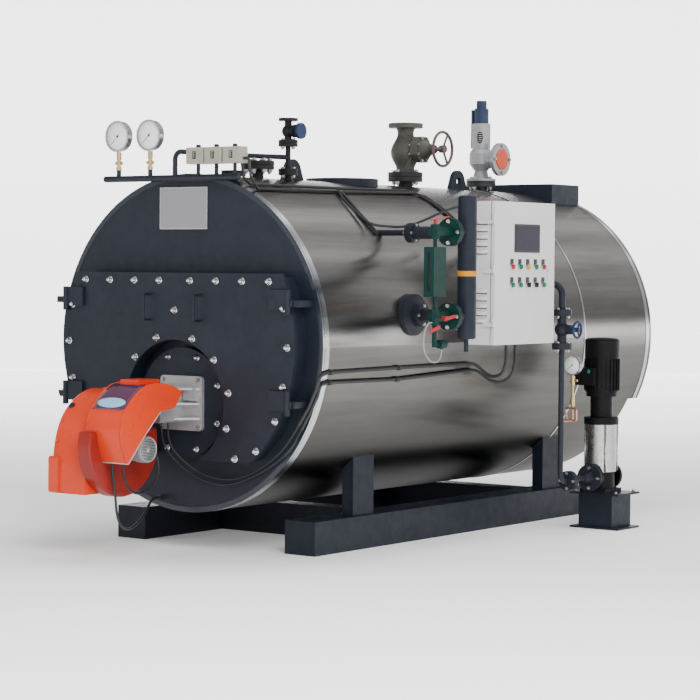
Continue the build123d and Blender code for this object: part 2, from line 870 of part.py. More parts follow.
with BuildPart() as level_gauge:
    for height in (upper_tapping, lower_tapping):
        with Locations(spot(column_x, cock_flange_depth, height, (0, -1, 0))):
            rod(cock_flange_radius, cock_flange)
            rod(24, cock_length)
        with Locations(spot(column_x, gauge_glass_depth, height - 34)):
            rod(22, 68)
    with Locations((column_x, front + gauge_glass_depth, protector_middle)):
        Box(protector_width, protector_length, protector_height)
        with Locations((0, protector_sheet, 0)):
            Box(protector_width - 2 * protector_sheet, protector_length,
                protector_height - 2 * protector_sheet, mode=Mode.SUBTRACT)
        Box(16, 2 * protector_length, protector_height - 50,
            align=(Align.CENTER, Align.MAX, Align.CENTER), mode=Mode.SUBTRACT)
    with Locations(spot(column_x, gauge_glass_depth, lower_tapping)):
        rod(9, upper_tapping - lower_tapping)
    with Locations(spot(column_x, gauge_glass_depth, drain_height - 14)):
        rod(11, lower_tapping - drain_height)
    with Locations(spot(column_x, gauge_glass_depth, drain_height, (0, 1, 0))):
        rod(9, 50)
    with Locations(spot(column_x, 482, drain_height, (0, 1, 0))):
        rod(20, 50)
    with Locations(spot(column_x, 507, drain_height - 24)):
        rod(7, 24)
    with Locations(spot(column_x, gauge_glass_depth, nozzle_height, (0, -1, 0))):
        rod(7, 22)
save(level_gauge, "level_gauge")

lever_width = 16
lever_sheet = 5

with BuildPart() as level_cock_levers:
    with Locations(spot(column_x, gauge_glass_depth, upper_tapping + 34)):
        rod(8, 26)
    with BuildSketch(facing_side(column_x - lever_width / 2)):
        with Locations((front + 480, upper_tapping + 62)):
            Rectangle(144, lever_sheet, rotation=6)
    extrude(amount=lever_width)
    with Locations(spot(column_x, 478, lower_tapping - 4, (1, 0, 0))):
        rod(8, 48)
    with BuildSketch(facing_side(column_x + 42)):
        with Locations((front + 508, lower_tapping - 5)):
            Rectangle(84, lever_width, rotation=10)
    extrude(amount=lever_sheet)
    with Locations(spot(column_x, gauge_glass_depth, lower_tapping - 50, (1, 0, 0))):
        rod(6, 28)
    with BuildSketch(facing_side(column_x + 24)):
        with Locations((front + 414, lower_tapping - 56)):
            Rectangle(84, lever_width, rotation=15)
    extrude(amount=lever_sheet)
    add(level_gauge.part, mode=Mode.SUBTRACT)
save(level_cock_levers, "level_cock_levers")


# Control cabinet: open box and its door

hinge_rows = (cabinet_bottom + 90, (cabinet_bottom + cabinet_top) / 2, cabinet_top - 110)
cabinet_inner = cabinet_outer - cabinet_depth

with BuildPart() as cabinet_box:
    with BuildSketch(facing_side(cabinet_inner)):
        with Locations((front + cabinet_front, cabinet_bottom)):
            Rectangle(cabinet_length, cabinet_height, align=(Align.MIN, Align.MIN))
    extrude(amount=cabinet_depth - door_thickness - door_gap)
    offset(amount=-cabinet_sheet,
           openings=cabinet_box.faces().sort_by(Axis.X)[-1])
    for height in (cabinet_bottom + 90, cabinet_top - 130):
        for depth in (cabinet_front + 60, cabinet_front + cabinet_length - 60):
            with Locations((cabinet_inner, front + depth, height)):
                Box(cabinet_depth, 40, 40, align=(Align.MAX, Align.CENTER, Align.CENTER))
    seat_on_drum(cabinet_front + cabinet_length / 2, cabinet_length)
    for height in hinge_rows:
        with Locations(spot(cabinet_outer, hinge_axis, height)):
            rod(knuckle, knuckle_height)
            rod(hinge_pin, 1.9 * knuckle_height)
        with Locations((cabinet_outer, front + hinge_axis, height)):
            Box(60, hinge_leaf, knuckle_height, align=(Align.MAX, Align.CENTER, Align.MIN))
        with Locations((cabinet_outer - 30, front + cabinet_front, height)):
            Box(30, cabinet_front - hinge_axis, knuckle_height,
                align=(Align.MAX, Align.MAX, Align.MIN))
save(cabinet_box, "cabinet_box")

with BuildPart() as cabinet_door:
    with BuildSketch(facing_side(cabinet_outer - door_thickness)):
        with Locations((front + cabinet_front, cabinet_bottom)):
            Rectangle(cabinet_length, cabinet_height, align=(Align.MIN, Align.MIN))
    extrude(amount=door_thickness)
    for height in hinge_rows:
        upper_knuckle = height + knuckle_height + knuckle_gap
        with Locations(spot(cabinet_outer, hinge_axis, upper_knuckle)):
            rod(knuckle, knuckle_height)
        with Locations((cabinet_outer, front + hinge_axis, upper_knuckle)):
            Box(14, cabinet_front - hinge_axis + 1, knuckle_height,
                align=(Align.MAX, Align.MIN, Align.MIN))
        with Locations(spot(cabinet_outer, hinge_axis, upper_knuckle)):
            Cylinder(hinge_pin + hinge_fit, knuckle_height, mode=Mode.SUBTRACT,
                     align=(Align.CENTER, Align.CENTER, Align.MIN))
save(cabinet_door, "cabinet_door")


# Feed line from the pump to the drum

valve_half = 85
joint_gap = 0.3
upper_flange = feed_valve_height + valve_half + joint_gap
lower_flange = feed_valve_height - valve_half - joint_gap
pump_neck = 180

with BuildPart() as feed_line:
    upper = [
        (730, riser_depth, feed_inlet_height),
        (pump_x, riser_depth, feed_inlet_height),
        (pump_x, riser_depth, upper_flange),
    ]
    pipe(route(upper), 17, 60)
    with Locations(spot(pump_x, riser_depth, upper_flange)):
        rod(feed_flange, feed_flange_thickness)
    with Locations(spot(pump_x, riser_depth, lower_flange, (0, 0, -1))):
        rod(feed_flange, feed_flange_thickness)
    lower = [
        (pump_x, riser_depth, lower_flange),
        (pump_x, riser_depth, port_height),
        (pump_x, pump_depth - pump_neck, port_height),
    ]
    pipe(route(lower), riser_radius, 50)
    with Locations(spot(pump_x, riser_depth + 65, port_height, (0, 1, 0))):
        flange_pair(feed_flange, feed_flange_thickness)
    with Locations(spot(pump_x, pump_depth - pump_neck, port_height, (0, 1, 0))):
        cone(16, 34, 60)
    with Locations(spot(pump_x, pump_depth - pump_neck + 58, port_height, (0, 1, 0))):
        rod(port_flange, port_thickness)
    seat_on_drum(riser_depth, 200)
save(feed_line, "feed_line")

with BuildPart() as feed_valve:
    with Locations(spot(pump_x, riser_depth, feed_valve_height - valve_half)):
        rod(feed_flange, feed_flange_thickness)
        rod(24, 2 * valve_half)
    with Locations(spot(pump_x, riser_depth, feed_valve_height + valve_half, (0, 0, -1))):
        rod(feed_flange, feed_flange_thickness)
    with Locations((pump_x, front + riser_depth, feed_valve_height)):
        Sphere(38)
    with Locations(spot(pump_x, riser_depth, feed_valve_height, (1, 0, 0))):
        rod(24, 62)
    with Locations(spot(pump_x + 34, riser_depth, feed_valve_height, (1, 0, 0))):
        Cylinder(6.1, 40, align=(Align.CENTER, Align.CENTER, Align.MIN), mode=Mode.SUBTRACT)
save(feed_valve, "feed_valve")

with BuildPart() as feed_handwheel:
    handwheel(pump_x + 90, riser_depth, feed_valve_height, feed_wheel_radius, 6, 12, 3, 6,
              pump_x + 40)
save(feed_handwheel, "feed_handwheel")

with BuildPart() as feed_gauge:
    siphon_foot = siphon_height - siphon_radius
    siphon_crown = siphon_height + siphon_radius
    gauge_foot = feed_gauge_height - feed_gauge_radius
    siphon = [
        (pump_x, riser_depth, siphon_foot),
        (pump_x, feed_gauge_depth - 18, siphon_foot),
        (pump_x + siphon_radius, feed_gauge_depth - 14, siphon_foot),
        (pump_x + siphon_radius, feed_gauge_depth - 18, siphon_crown),
        (pump_x - siphon_radius, feed_gauge_depth - 16, siphon_crown),
        (pump_x - siphon_radius, feed_gauge_depth - 4, siphon_foot),
        (pump_x, feed_gauge_depth, siphon_foot),
        (pump_x, feed_gauge_depth, gauge_foot + 10),
    ]
    pipe(route(siphon), 5.5, 12)
    with Locations(spot(pump_x, feed_gauge_depth, siphon_crown + 10)):
        rod(12, 46)
    with Locations(spot(pump_x, feed_gauge_depth, gauge_foot - 50)):
        rod(11, 44)
    with Locations(spot(pump_x - 18, feed_gauge_depth, gauge_foot - 28, (1, 0, 0))):
        rod(6, 44)
    with Locations(spot(pump_x, feed_gauge_depth + 16, feed_gauge_height, (0, -1, 0))):
        rod(feed_gauge_radius - 2, 26)
    with Locations(spot(pump_x, feed_gauge_depth - 8, feed_gauge_height, (0, -1, 0))):
        rod(feed_gauge_radius, 7)
        Cylinder(feed_gauge_radius - 5, 20, mode=Mode.SUBTRACT,
                 align=(Align.CENTER, Align.CENTER, Align.MIN))
    with Locations(spot(pump_x, riser_depth, stand_height)):
        Cylinder(riser_radius, feed_gauge_height, mode=Mode.SUBTRACT,
                 align=(Align.CENTER, Align.CENTER, Align.MIN))
save(feed_gauge, "feed_gauge")


# Feed pump and its stand

with BuildPart() as pump_stand:
    for height in (0, stand_height - stand_plate):
        with Locations((stand_x, front + stand_depth, height)):
            Box(stand_width, stand_length, stand_plate,
                align=(Align.CENTER, Align.CENTER, Align.MIN))
    with Locations((stand_x, front + stand_depth, stand_plate)):
        Box(stand_width - 90, stand_length - 30, stand_height - 2 * stand_plate,
            align=(Align.CENTER, Align.CENTER, Align.MIN))
save(pump_stand, "pump_stand")

with BuildPart() as pump_base:
    with Locations((pump_x, front + pump_depth, stand_height)):
        Box(150, 170, 22, align=(Align.CENTER, Align.CENTER, Align.MIN))
    with Locations(spot(pump_x, pump_depth, stand_height + 20)):
        rod(72, sleeve_foot - stand_height - 20)
    with Locations(spot(pump_x, pump_depth - port_reach, port_height, (0, 1, 0))):
        rod(27, 2 * port_reach)
        rod(port_flange, port_thickness)
    with Locations(spot(pump_x, pump_depth + port_reach, port_height, (0, -1, 0))):
        rod(port_flange, port_thickness)
save(pump_base, "pump_base")

with BuildPart() as pump_sleeve:
    with Locations(spot(pump_x, pump_depth, sleeve_foot)):
        rod(sleeve_radius, sleeve_top - sleeve_foot)
save(pump_sleeve, "pump_sleeve")

motor_foot = sleeve_top + 170

with BuildPart() as pump_head:
    with Locations(spot(pump_x, pump_depth, sleeve_top)):
        rod(90, 36)
        rod(58, motor_foot - sleeve_top)
    with Locations(spot(pump_x, pump_depth, motor_foot, (0, 0, -1))):
        rod(sleeve_radius, 24)
save(pump_head, "pump_head")

with BuildPart() as pump_motor:
    with Locations(spot(pump_x, pump_depth, motor_foot)):
        rod(86, 180)
    with Locations(spot(pump_x, pump_depth, motor_foot + 180)):
        rod(90, 88)
    with Locations((pump_x - 40, front + pump_depth - 100, motor_foot + 81)):
        Box(130, 60, 90)
save(pump_motor, "pump_motor")


# Cables fixed to the drum, with their glands and clips

upper_run = 873
lower_run = 822
upper_start = (691, -33, 632)
lower_start = (691, -14, 609)
burner_gland = (-150, 0, 245)
cabinet_gland = (915, cabinet_front, cabinet_top - 25)
gland_length = 28
droop_start = along(366, 706, drum_radius + 13)
droop_lead = along(397, 679, drum_radius + 13)


def further(run, share):
    """A point ahead of a run's end, by a share of its last stretch."""
    end = Vector(*run[-1])
    return tuple(end + (end - Vector(*run[-2])) * share)


with BuildPart() as fixed_cables:
    upper_conduit = [
        upper_start,
        (745, -33, 712),
        (790, -33, 800),
        (811, -33, 862),
        beside(upper_run, 40, conduit_reach),
        beside(upper_run + 4, 597, conduit_reach),
        beside(upper_run + 6, 1198, conduit_reach + 6),
    ]
    lower_conduit = [
        lower_start,
        (742, -14, 692),
        (780, -14, 765),
        (797, -14, 818),
        beside(lower_run + 4, 40, conduit_reach),
        beside(lower_run, 593, conduit_reach),
        beside(lower_run + 23, 1200, conduit_reach + 6),
    ]
    for run in (upper_conduit, lower_conduit):
        pipe(route(run), conduit_radius, 18)
    for height, depth in ((upper_run, 45), (lower_run + 4, 45), (upper_run + 4, 585),
                          (lower_run, 580)):
        with Locations(spot(*beside(height, depth, conduit_reach), (0, 1, 0))):
            rod(12, 26)
    outer_cable = [
        (368, -45, controller_z - 16),
        (398, -45, controller_z - 16),
        (398, -30, crest - 20),
        along(350, 80, cable_reach),
        along(330, 800, cable_reach),
        along(300, 1430, cable_reach),
        along(340, 1480, cable_reach),
        along(440, 1480, cable_reach),
        along(520, 1482, cable_reach),
        along(590, 1485, cable_reach),
        (650, 1490, axis_height + 522),
        (820, 1500, axis_height + 515),
        (cabinet_inner, 1500, axis_height + 515),
    ]
    inner_cable = [
        (300, -13, controller_z - 16),
        (300, 22, controller_z - 16),
        (300, 40, crest - 20),
        along(300, 90, cable_reach),
        along(290, 800, cable_reach),
        along(270, 1400, cable_reach),
        along(310, 1450, cable_reach),
        along(420, 1452, cable_reach),
        along(510, 1454, cable_reach),
        along(585, 1455, cable_reach),
        (650, 1460, axis_height + 494),
        (820, 1465, axis_height + 485),
        (cabinet_inner, 1465, axis_height + 485),
    ]
    for run in (outer_cable, inner_cable):
        pipe(route(run), 7, 14)
    level_cable = [
        along(332, 751, cable_reach + 1),
        along(380, 725, cable_reach + 1),
        along(435, 696, cable_reach + 1),
        along(516, 668, cable_reach + 1),
        along(574, 671, cable_reach + 1),
        along(612, 680, cable_reach + 1),
    ]
    pipe(route(level_cable), 8, 14)
    with Locations(spot(*droop_start, tuple(Vector(*droop_start) - Vector(*droop_lead)))):
        rod(9, gland_length)
    with Locations(spot(*burner_gland, (0, -1, 0))):
        rod(11, gland_length)
    with Locations(spot(*cabinet_gland, (0, -1, 0))):
        rod(11, gland_length)
    seat_on_drum(drum_length / 2, drum_length / 2 - end_plate)
save(fixed_cables, "fixed_cables")


# Hanging cables and the drain hose

upper_loop = [
    (-20, -120, burner_height - neck_height / 2),
    (-20, -120, 570),
    (-14, -112, 512),
    (10, -80, 455),
    (60, -45, 405),
    (125, -28, 372),
    (200, -25, 357),
    (285, -25, 356),
    (365, -25, 374),
    (440, -25, 404),
    (510, -25, 445),
    (572, -25, 492),
    (625, -28, 545),
    (665.62, -33, 594.4),
    upper_start,
]
cord("front_cable_upper", upper_loop, 4)

lower_loop = [
    (-60, -120, burner_height - neck_height / 2),
    (-60, -120, 565),
    (-55, -108, 510),
    (-42, -75, 458),
    (-15, -42, 412),
    (35, -27, 378),
    (99, -25, 350),
    (165, -25, 334),
    (235, -25, 329),
    (305, -25, 338),
    (370, -25, 358),
    (432, -25, 384),
    (492, -25, 414),
    (550, -25, 448),
    (602, -22, 488),
    (643, -17, 532),
    (667.54, -14, 570.82),
    lower_start,
]
cord("front_cable_lower", lower_loop, 4)

burner_loop = [
    (20, -315, motor_height - 18),
    (20, -272, motor_height - 18),
    (20, -240, 460),
    (20, -228, 415),
    (20, -238, 368),
    (20, -270, 330),
    (20, -315, 307),
    (20, -365, 298),
    (20, -412, 308),
    (20, -450, 338),
    (20, -470, 382),
    (20, -475, 430),
    (20, -475, hood_gland),
]
cord("burner_loop", burner_loop, 6)

burner_lead = [
    (-22, -505, hood_gland),
    (-22, -505, 415),
    (-22, -492, 350),
    (-22, -482, 285),
    (-24, -474, 222),
    (-30, -448, 168),
    (-42, -402, 136),
    (-58, -345, 126),
    (-76, -285, 138),
    (-95, -225, 160),
    (-115, -165, 188),
    (-136, -118, 220),
    (-150, -75, 245),
    (-150, -gland_length, 245),
]
cord("burner_cable", burner_lead, 6)

drooping = [
    droop_start,
    droop_lead,
    along(430, 656, drum_radius + 13),
    along(466, 642, drum_radius + 14),
    along(504, 636, drum_radius + 15),
    along(542, 634, drum_radius + 17),
    along(580, 644, drum_radius + 22),
    along(614, 668, drum_radius + 36),
    (650, 700, 1551),
    (686, 735, 1546),
    (724, 772, 1552),
    (762, 808, 1569),
    (799, 845, 1592),
    (833, 884, 1616),
    (866, 922, 1636),
    (893, 953, 1648),
    (915, 984, cabinet_top - 25),
    (915, cabinet_front - gland_length, cabinet_top - 25),
]
cord("drooping_cable", drooping, 6)

drain = [
    (column_x, gauge_glass_depth - 22, nozzle_height),
    (column_x, 400, nozzle_height),
    (column_x, 377, 1076),
    (column_x, 362, 1043),
    (column_x, 358, 1005),
    (column_x, 368, 968),
    (column_x, 392, 938),
    (column_x, 426, 919),
    (column_x, 464, 915),
    (column_x, 494, 928),
    (column_x, 507, 953),
    (column_x, 507, drain_height - 24),
]
cord("drain_hose", drain, 4)

upper_loop_out = [
    upper_conduit[-1],
    further(upper_conduit, 0.053),
    (822, 1258, 864),
    (843, 1278, 836),
    (876, 1288, 815),
    (913, 1293, 816),
    (943, 1295, 836),
    (956, 1295, 868),
    (962, 1296, 908),
    (960, 1296, 946),
    (960, 1296, cabinet_bottom),
]
cord("cabinet_loop_upper", upper_loop_out, conduit_radius)

lower_loop_out = [
    lower_conduit[-1],
    further(lower_conduit, 0.07),
    (813, 1278, 836),
    (830, 1306, 812),
    (857, 1328, 790),
    (892, 1346, 783),
    (925, 1360, 796),
    (948, 1370, 824),
    (958, 1377, 860),
    (962, 1380, 902),
    (960, 1380, 942),
    (960, 1380, cabinet_bottom),
]
cord("cabinet_loop_lower", lower_loop_out, conduit_radius)
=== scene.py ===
import bpy
import bmesh
import math
from mathutils import Matrix, Vector

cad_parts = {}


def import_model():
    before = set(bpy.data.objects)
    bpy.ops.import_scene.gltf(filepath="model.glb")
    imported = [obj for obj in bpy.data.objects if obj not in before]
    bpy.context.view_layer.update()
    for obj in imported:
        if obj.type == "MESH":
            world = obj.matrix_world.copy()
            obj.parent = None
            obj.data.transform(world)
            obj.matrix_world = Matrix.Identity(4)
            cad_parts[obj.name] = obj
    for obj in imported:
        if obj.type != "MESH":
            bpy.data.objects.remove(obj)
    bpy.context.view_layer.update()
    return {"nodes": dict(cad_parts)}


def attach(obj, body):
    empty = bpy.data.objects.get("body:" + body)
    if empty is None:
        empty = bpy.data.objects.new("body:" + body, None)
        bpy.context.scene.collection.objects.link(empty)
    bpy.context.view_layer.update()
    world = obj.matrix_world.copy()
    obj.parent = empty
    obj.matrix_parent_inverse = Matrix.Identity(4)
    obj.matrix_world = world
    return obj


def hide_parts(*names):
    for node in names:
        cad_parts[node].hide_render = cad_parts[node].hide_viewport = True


# Looks of the packaged steam boiler: metres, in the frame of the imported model.

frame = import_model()
nodes = frame["nodes"]
root = "boiler"
DOOR = "control_cabinet_door"

# The front plate's outer face along Y, in metres. The places below are in millimetres.
FRONT = -0.855
UP = (0, 0, 1)
ACROSS = (1, 0, 0)
FORWARD = (0, -1, 0)

# Where things stand, across and behind the front plate.
BLANK_NOZZLE = (0, 522)
MANHOLE = (0, 1218)
STEAM_VALVE = (0, 1788)
SAFETY_VALVE = (0, 2532)
VENT_VALVE = (70, 672)
WATER_COLUMN = (1105, 716)
FEED_PIPE = (1035, 1705)
PUMP = (1035, 2115)

# Heights of the level gauge's two cocks.
UPPER_COCK = 1519
LOWER_COCK = 1127

# The burner motor's end, the cabinet door's face and the cabinet side with the louvres.
MOTOR_END = (91, -386, 508)
DOOR_FACE = 1050
LOUVRE_SIDE = 1043

# The tip of a turned piece is a flat of this radius, in metres, too small to see.
TIP = 0.0004


def world(x, depth, z):
    """Millimetres across, behind the front plate and up, as a point in metres."""
    return Vector((x / 1000, FRONT + depth / 1000, z / 1000))


# Shader helpers

def new_material(name, metallic=0.0, sheen=0.5):
    mat = bpy.data.materials.new(name)
    mat.use_nodes = True
    tree = mat.node_tree
    shader = tree.nodes["Principled BSDF"]
    shader.inputs["Metallic"].default_value = metallic
    shader.inputs["Specular IOR Level"].default_value = sheen
    return mat, tree, shader


def coordinates(tree, scale=(1, 1, 1)):
    where = tree.nodes.new("ShaderNodeTexCoord")
    mapping = tree.nodes.new("ShaderNodeMapping")
    mapping.inputs["Scale"].default_value = scale
    tree.links.new(where.outputs["Object"], mapping.inputs["Vector"])
    return mapping.outputs["Vector"]


def place_of(tree, axis):
    """The part's own coordinate along one axis, in metres."""
    split = tree.nodes.new("ShaderNodeSeparateXYZ")
    tree.links.new(coordinates(tree), split.inputs[0])
    return split.outputs[axis]


def feed(tree, value, socket):
    """Links another socket, or sets a number or a colour."""
    if isinstance(value, bpy.types.NodeSocket):
        tree.links.new(value, socket)
    elif isinstance(value, tuple):
        socket.default_value = (*value, 1)
    else:
        socket.default_value = value


def calculate(tree, operation, *values):
    """One step of arithmetic on sockets and numbers."""
    node = tree.nodes.new("ShaderNodeMath")
    node.operation = operation
    for socket, value in zip(node.inputs, values):
        feed(tree, value, socket)
    return node.outputs[0]


def mixed(tree, share, low, high, kind="MIX"):
    """Two colours mixed by a share."""
    node = tree.nodes.new("ShaderNodeMix")
    node.data_type = "RGBA"
    node.blend_type = kind
    feed(tree, share, node.inputs[0])
    feed(tree, low, node.inputs[6])
    feed(tree, high, node.inputs[7])
    return node.outputs[2]


def noise(tree, vector, scale, detail=4.0, rough=0.55, distortion=0.0):
    node = tree.nodes.new("ShaderNodeTexNoise")
    node.inputs["Scale"].default_value = scale
    node.inputs["Detail"].default_value = detail
    node.inputs["Roughness"].default_value = rough
    node.inputs["Distortion"].default_value = distortion
    tree.links.new(vector, node.inputs["Vector"])
    return node.outputs["Fac"]


def ramp(tree, fac, stops):
    """A colour ramp over a pattern, with a plain number for a grey."""
    node = tree.nodes.new("ShaderNodeValToRGB")
    while len(node.color_ramp.elements) < len(stops):
        node.color_ramp.elements.new(0.5)
    for element, (place, colour) in zip(node.color_ramp.elements, stops):
        element.position = place
        if isinstance(colour, (int, float)):
            colour = (colour, colour, colour)
        element.color = (*colour, 1)
    tree.links.new(fac, node.inputs["Fac"])
    return node.outputs["Color"]


def bump(tree, shader, height, strength, distance):
    node = tree.nodes.new("ShaderNodeBump")
    node.inputs["Strength"].default_value = strength
    node.inputs["Distance"].default_value = distance
    tree.links.new(height, node.inputs["Height"])
    tree.links.new(node.outputs["Normal"], shader.inputs["Normal"])


def spread(tree, shader, socket, fac, stops):
    """A ramp over a pattern, for one socket of the shader."""
    tree.links.new(ramp(tree, fac, stops), shader.inputs[socket])


def shaded(colour, factor):
    return tuple(min(1, c * factor) for c in colour)


def painted(name, colour, roughness, shade=0.12, grain=60, peel=0.25, coat=0.0, dust=None,
            sheen=0.28):
    """Sprayed paint: slow tone drift, fine orange peel and a little dust in patches."""
    mat, tree, shader = new_material(name, sheen=sheen)
    shader.inputs["Coat Weight"].default_value = coat
    vector = coordinates(tree)
    drift = noise(tree, vector, 3.5, 5, 0.6, 0.3)
    tone = ramp(tree, drift, [(0.3, shaded(colour, 1 - shade)), (0.7, shaded(colour, 1 + shade))])
    if dust:
        patches = noise(tree, vector, 14, 8, 0.7)
        tone = mixed(tree, ramp(tree, patches, [(0.52, 0), (0.78, 0.45)]), tone, dust)
    tree.links.new(tone, shader.inputs["Base Color"])
    spread(tree, shader, "Roughness", noise(tree, vector, 22, 4),
           [(0.3, roughness * 0.85), (0.7, roughness * 1.25)])
    bump(tree, shader, noise(tree, vector, grain * 8, 3), peel, 0.0004)
    return mat


def cast(name, colour, roughness, grain=220, metallic=0.6, depth=0.5, sheen=0.5):
    """Rough casting: pitted surface with darker hollows."""
    mat, tree, shader = new_material(name, metallic, sheen)
    vector = coordinates(tree)
    pits = noise(tree, vector, grain, 6, 0.7)
    spread(tree, shader, "Base Color", pits, [(0.35, shaded(colour, 0.55)), (0.6, colour)])
    spread(tree, shader, "Roughness", noise(tree, vector, 18, 5),
           [(0.3, roughness * 0.8), (0.7, roughness * 1.2)])
    bump(tree, shader, pits, depth, 0.0012)
    return mat


def brushed(name, colour, roughness, stretch, shade):
    """Drawn or polished metal: fine lines across the stretch direction."""
    mat, tree, shader = new_material(name, 1.0)
    lines = noise(tree, coordinates(tree, stretch), 30, 6, 0.75)
    spread(tree, shader, "Base Color", lines,
           [(0.3, shaded(colour, 1 - shade)), (0.7, shaded(colour, 1 + shade))])
    spread(tree, shader, "Roughness", lines, [(0.25, roughness * 0.8), (0.75, roughness * 1.3)])
    bump(tree, shader, lines, 0.12, 0.0003)
    return mat


def cladding_sheet(name):
    """Brushed stainless cladding: soft sheet waves, streaks, and painted shade that darkens it
    towards the belly.
    """
    mat, tree, shader = new_material(name, 1.0)
    streak = noise(tree, coordinates(tree, (7, 0.35, 7)), 3.2, 6, 0.62, 0.4)
    haze = noise(tree, coordinates(tree, (3, 1.2, 3)), 2.0, 6, 0.6)
    metal = ramp(tree, calculate(tree, "MULTIPLY_ADD", haze, 0.4, streak), [
        (0.45, (0.25, 0.238, 0.232)), (0.7, (0.31, 0.3, 0.293)), (0.95, (0.36, 0.35, 0.342))])
    belly = 0.18
    # Painted shade: towards the bottom of the drum the base colour darkens to near black,
    # standing in for the shade on the belly.
    painted_belly_shade = ramp(tree, calculate(tree, "ADD", place_of(tree, "Z"), -belly), [
        (0.0, 0.06), (0.2, (0.2, 0.2, 0.185)), (0.45, (0.38, 0.38, 0.355)),
        (0.72, (0.66, 0.65, 0.62)), (0.85, 1)])
    tree.links.new(mixed(tree, 1.0, metal, painted_belly_shade, "MULTIPLY"), shader.inputs["Base Color"])
    fine = noise(tree, coordinates(tree, (60, 2, 60)), 20, 4, 0.7)
    spread(tree, shader, "Roughness", fine, [(0.3, 0.2), (0.7, 0.26)])
    grind = tree.nodes.new("ShaderNodeTangent")
    grind.direction_type = "RADIAL"
    grind.axis = "Y"
    tree.links.new(grind.outputs["Tangent"], shader.inputs["Tangent"])
    shader.inputs["Anisotropic"].default_value = 0.85
    shader.inputs["Anisotropic Rotation"].default_value = 0.25
    wave = noise(tree, coordinates(tree, (3.2, 0.8, 3.2)), 1.6, 2, 0.4)
    bump(tree, shader, wave, 0.18, 0.008)
    return mat


def plain_metal(name, colour, roughness):
    """Bare or plated metal with a faint drift of tone and gloss."""
    mat, tree, shader = new_material(name, 1.0)
    vector = coordinates(tree)
    spread(tree, shader, "Base Color", noise(tree, vector, 90, 5),
           [(0.3, shaded(colour, 0.85)), (0.7, colour)])
    spread(tree, shader, "Roughness", noise(tree, vector, 40, 4),
           [(0.3, roughness * 0.8), (0.7, roughness * 1.3)])
    return mat


def moulded(name, colour, roughness, grain=900, sheen=0.5):
    """Moulded plastic or rubber with a fine grain."""
    mat, tree, shader = new_material(name, sheen=sheen)
    vector = coordinates(tree)
    spread(tree, shader, "Base Color", noise(tree, vector, 25, 4),
           [(0.3, shaded(colour, 0.88)), (0.7, colour)])
    shader.inputs["Roughness"].default_value = roughness
    bump(tree, shader, noise(tree, vector, grain, 2), 0.2, 0.0002)
    return mat


def gauge_fittings(name):
    """Steel gauge above, brass cocks below it and a copper siphon at the foot."""
    mat, tree, shader = new_material(name, 1.0)
    grain = noise(tree, coordinates(tree), 90, 5)
    height = calculate(tree, "MULTIPLY_ADD", grain, 0.004, place_of(tree, "Z"))
    spread(tree, shader, "Base Color", height, [
        (0.0, (0.62, 0.33, 0.2)), (0.651, (0.74, 0.4, 0.27)), (0.652, (0.7, 0.5, 0.2)),
        (0.811, (0.76, 0.56, 0.28)), (0.812, (0.5, 0.5, 0.5)), (1.0, (0.6, 0.6, 0.59)),
    ])
    spread(tree, shader, "Roughness", grain, [(0.3, 0.24), (0.7, 0.4)])
    return mat


# Finishes

NAVY = painted("navy_paint", (0.0095, 0.0128, 0.0215), 0.45, 0.16, dust=(0.02, 0.023, 0.03))
SKID = painted("skid_paint", (0.0065, 0.0095, 0.0185), 0.44, 0.18, dust=(0.018, 0.02, 0.025))
CLAD = cladding_sheet("polished_cladding")
TRIM = brushed("bright_trim", (0.72, 0.73, 0.75), 0.2, (20, 20, 20), 0.1)
ORANGE = painted("orange_enamel", (0.62, 0.04, 0.008), 0.3, 0.07, peel=0.12, coat=0.12)
ALU = cast("aluminium_casting", (0.56, 0.56, 0.57), 0.45, 300, 0.6, 0.3)
IRON = cast("black_iron", (0.016, 0.017, 0.018), 0.5, 260, 0.2, 0.4, 0.3)
OLIVE = cast("bare_cast_iron", (0.085, 0.083, 0.07), 0.55, 200, 0.35, 0.6)
SILVER = cast("silver_valve_paint", (0.42, 0.43, 0.44), 0.4, 300, 0.6, 0.25)
MOTOR = painted("motor_paint", (0.2, 0.21, 0.22), 0.45, 0.12)
BLUE = painted("blue_enamel", (0.008, 0.022, 0.07), 0.28, 0.12)
WHEEL = painted("wheel_paint", (0.09, 0.06, 0.055), 0.45, 0.2, dust=(0.14, 0.13, 0.12))
RED = painted("red_lever_paint", (0.34, 0.012, 0.02), 0.38, 0.15)
BRASS = plain_metal("brass_fitting", (0.72, 0.53, 0.26), 0.3)
STEEL = plain_metal("stainless_part", (0.6, 0.6, 0.59), 0.28)
NUT = plain_metal("dome_nut_chrome", (0.8, 0.8, 0.81), 0.16)
ZINC = plain_metal("zinc_bolt", (0.55, 0.55, 0.53), 0.38)
GREEN = painted("gauge_green_paint", (0.002, 0.024, 0.019), 0.38, 0.2, sheen=0.2)
DARKPIPE = painted("dark_pipe_paint", (0.013, 0.015, 0.022), 0.4, 0.15)
SHELLGREY = painted("cabinet_powder_coat", (0.6, 0.6, 0.595), 0.48, 0.03, grain=120,
                    peel=0.35)
CONTROL = moulded("controller_plastic", (0.3, 0.275, 0.22), 0.45)
BLACK = moulded("black_plastic", (0.012, 0.012, 0.014), 0.4)
RUBBER = moulded("cable_sheath", (0.016, 0.016, 0.018), 0.45, 1600)
CAP = moulded("orange_cap_plastic", (0.52, 0.065, 0.018), 0.5)
PUMPBLACK = cast("pump_black_casting", (0.005, 0.005, 0.006), 0.42, 300, 0.0, 0.3, 0.16)
HOSE = moulded("clear_hose", (0.26, 0.25, 0.235), 0.3)
GASKET = moulded("pale_gasket", (0.42, 0.4, 0.38), 0.6)
SCARLET = painted("scroll_enamel", (0.26, 0.018, 0.012), 0.35, 0.1, coat=0.1)
SCREEN = moulded("panel_screen", (0.03, 0.027, 0.042), 0.3, sheen=0.12)
PURPLE = painted("smoked_window", (0.085, 0.02, 0.055), 0.1, 0.15, coat=1.0)
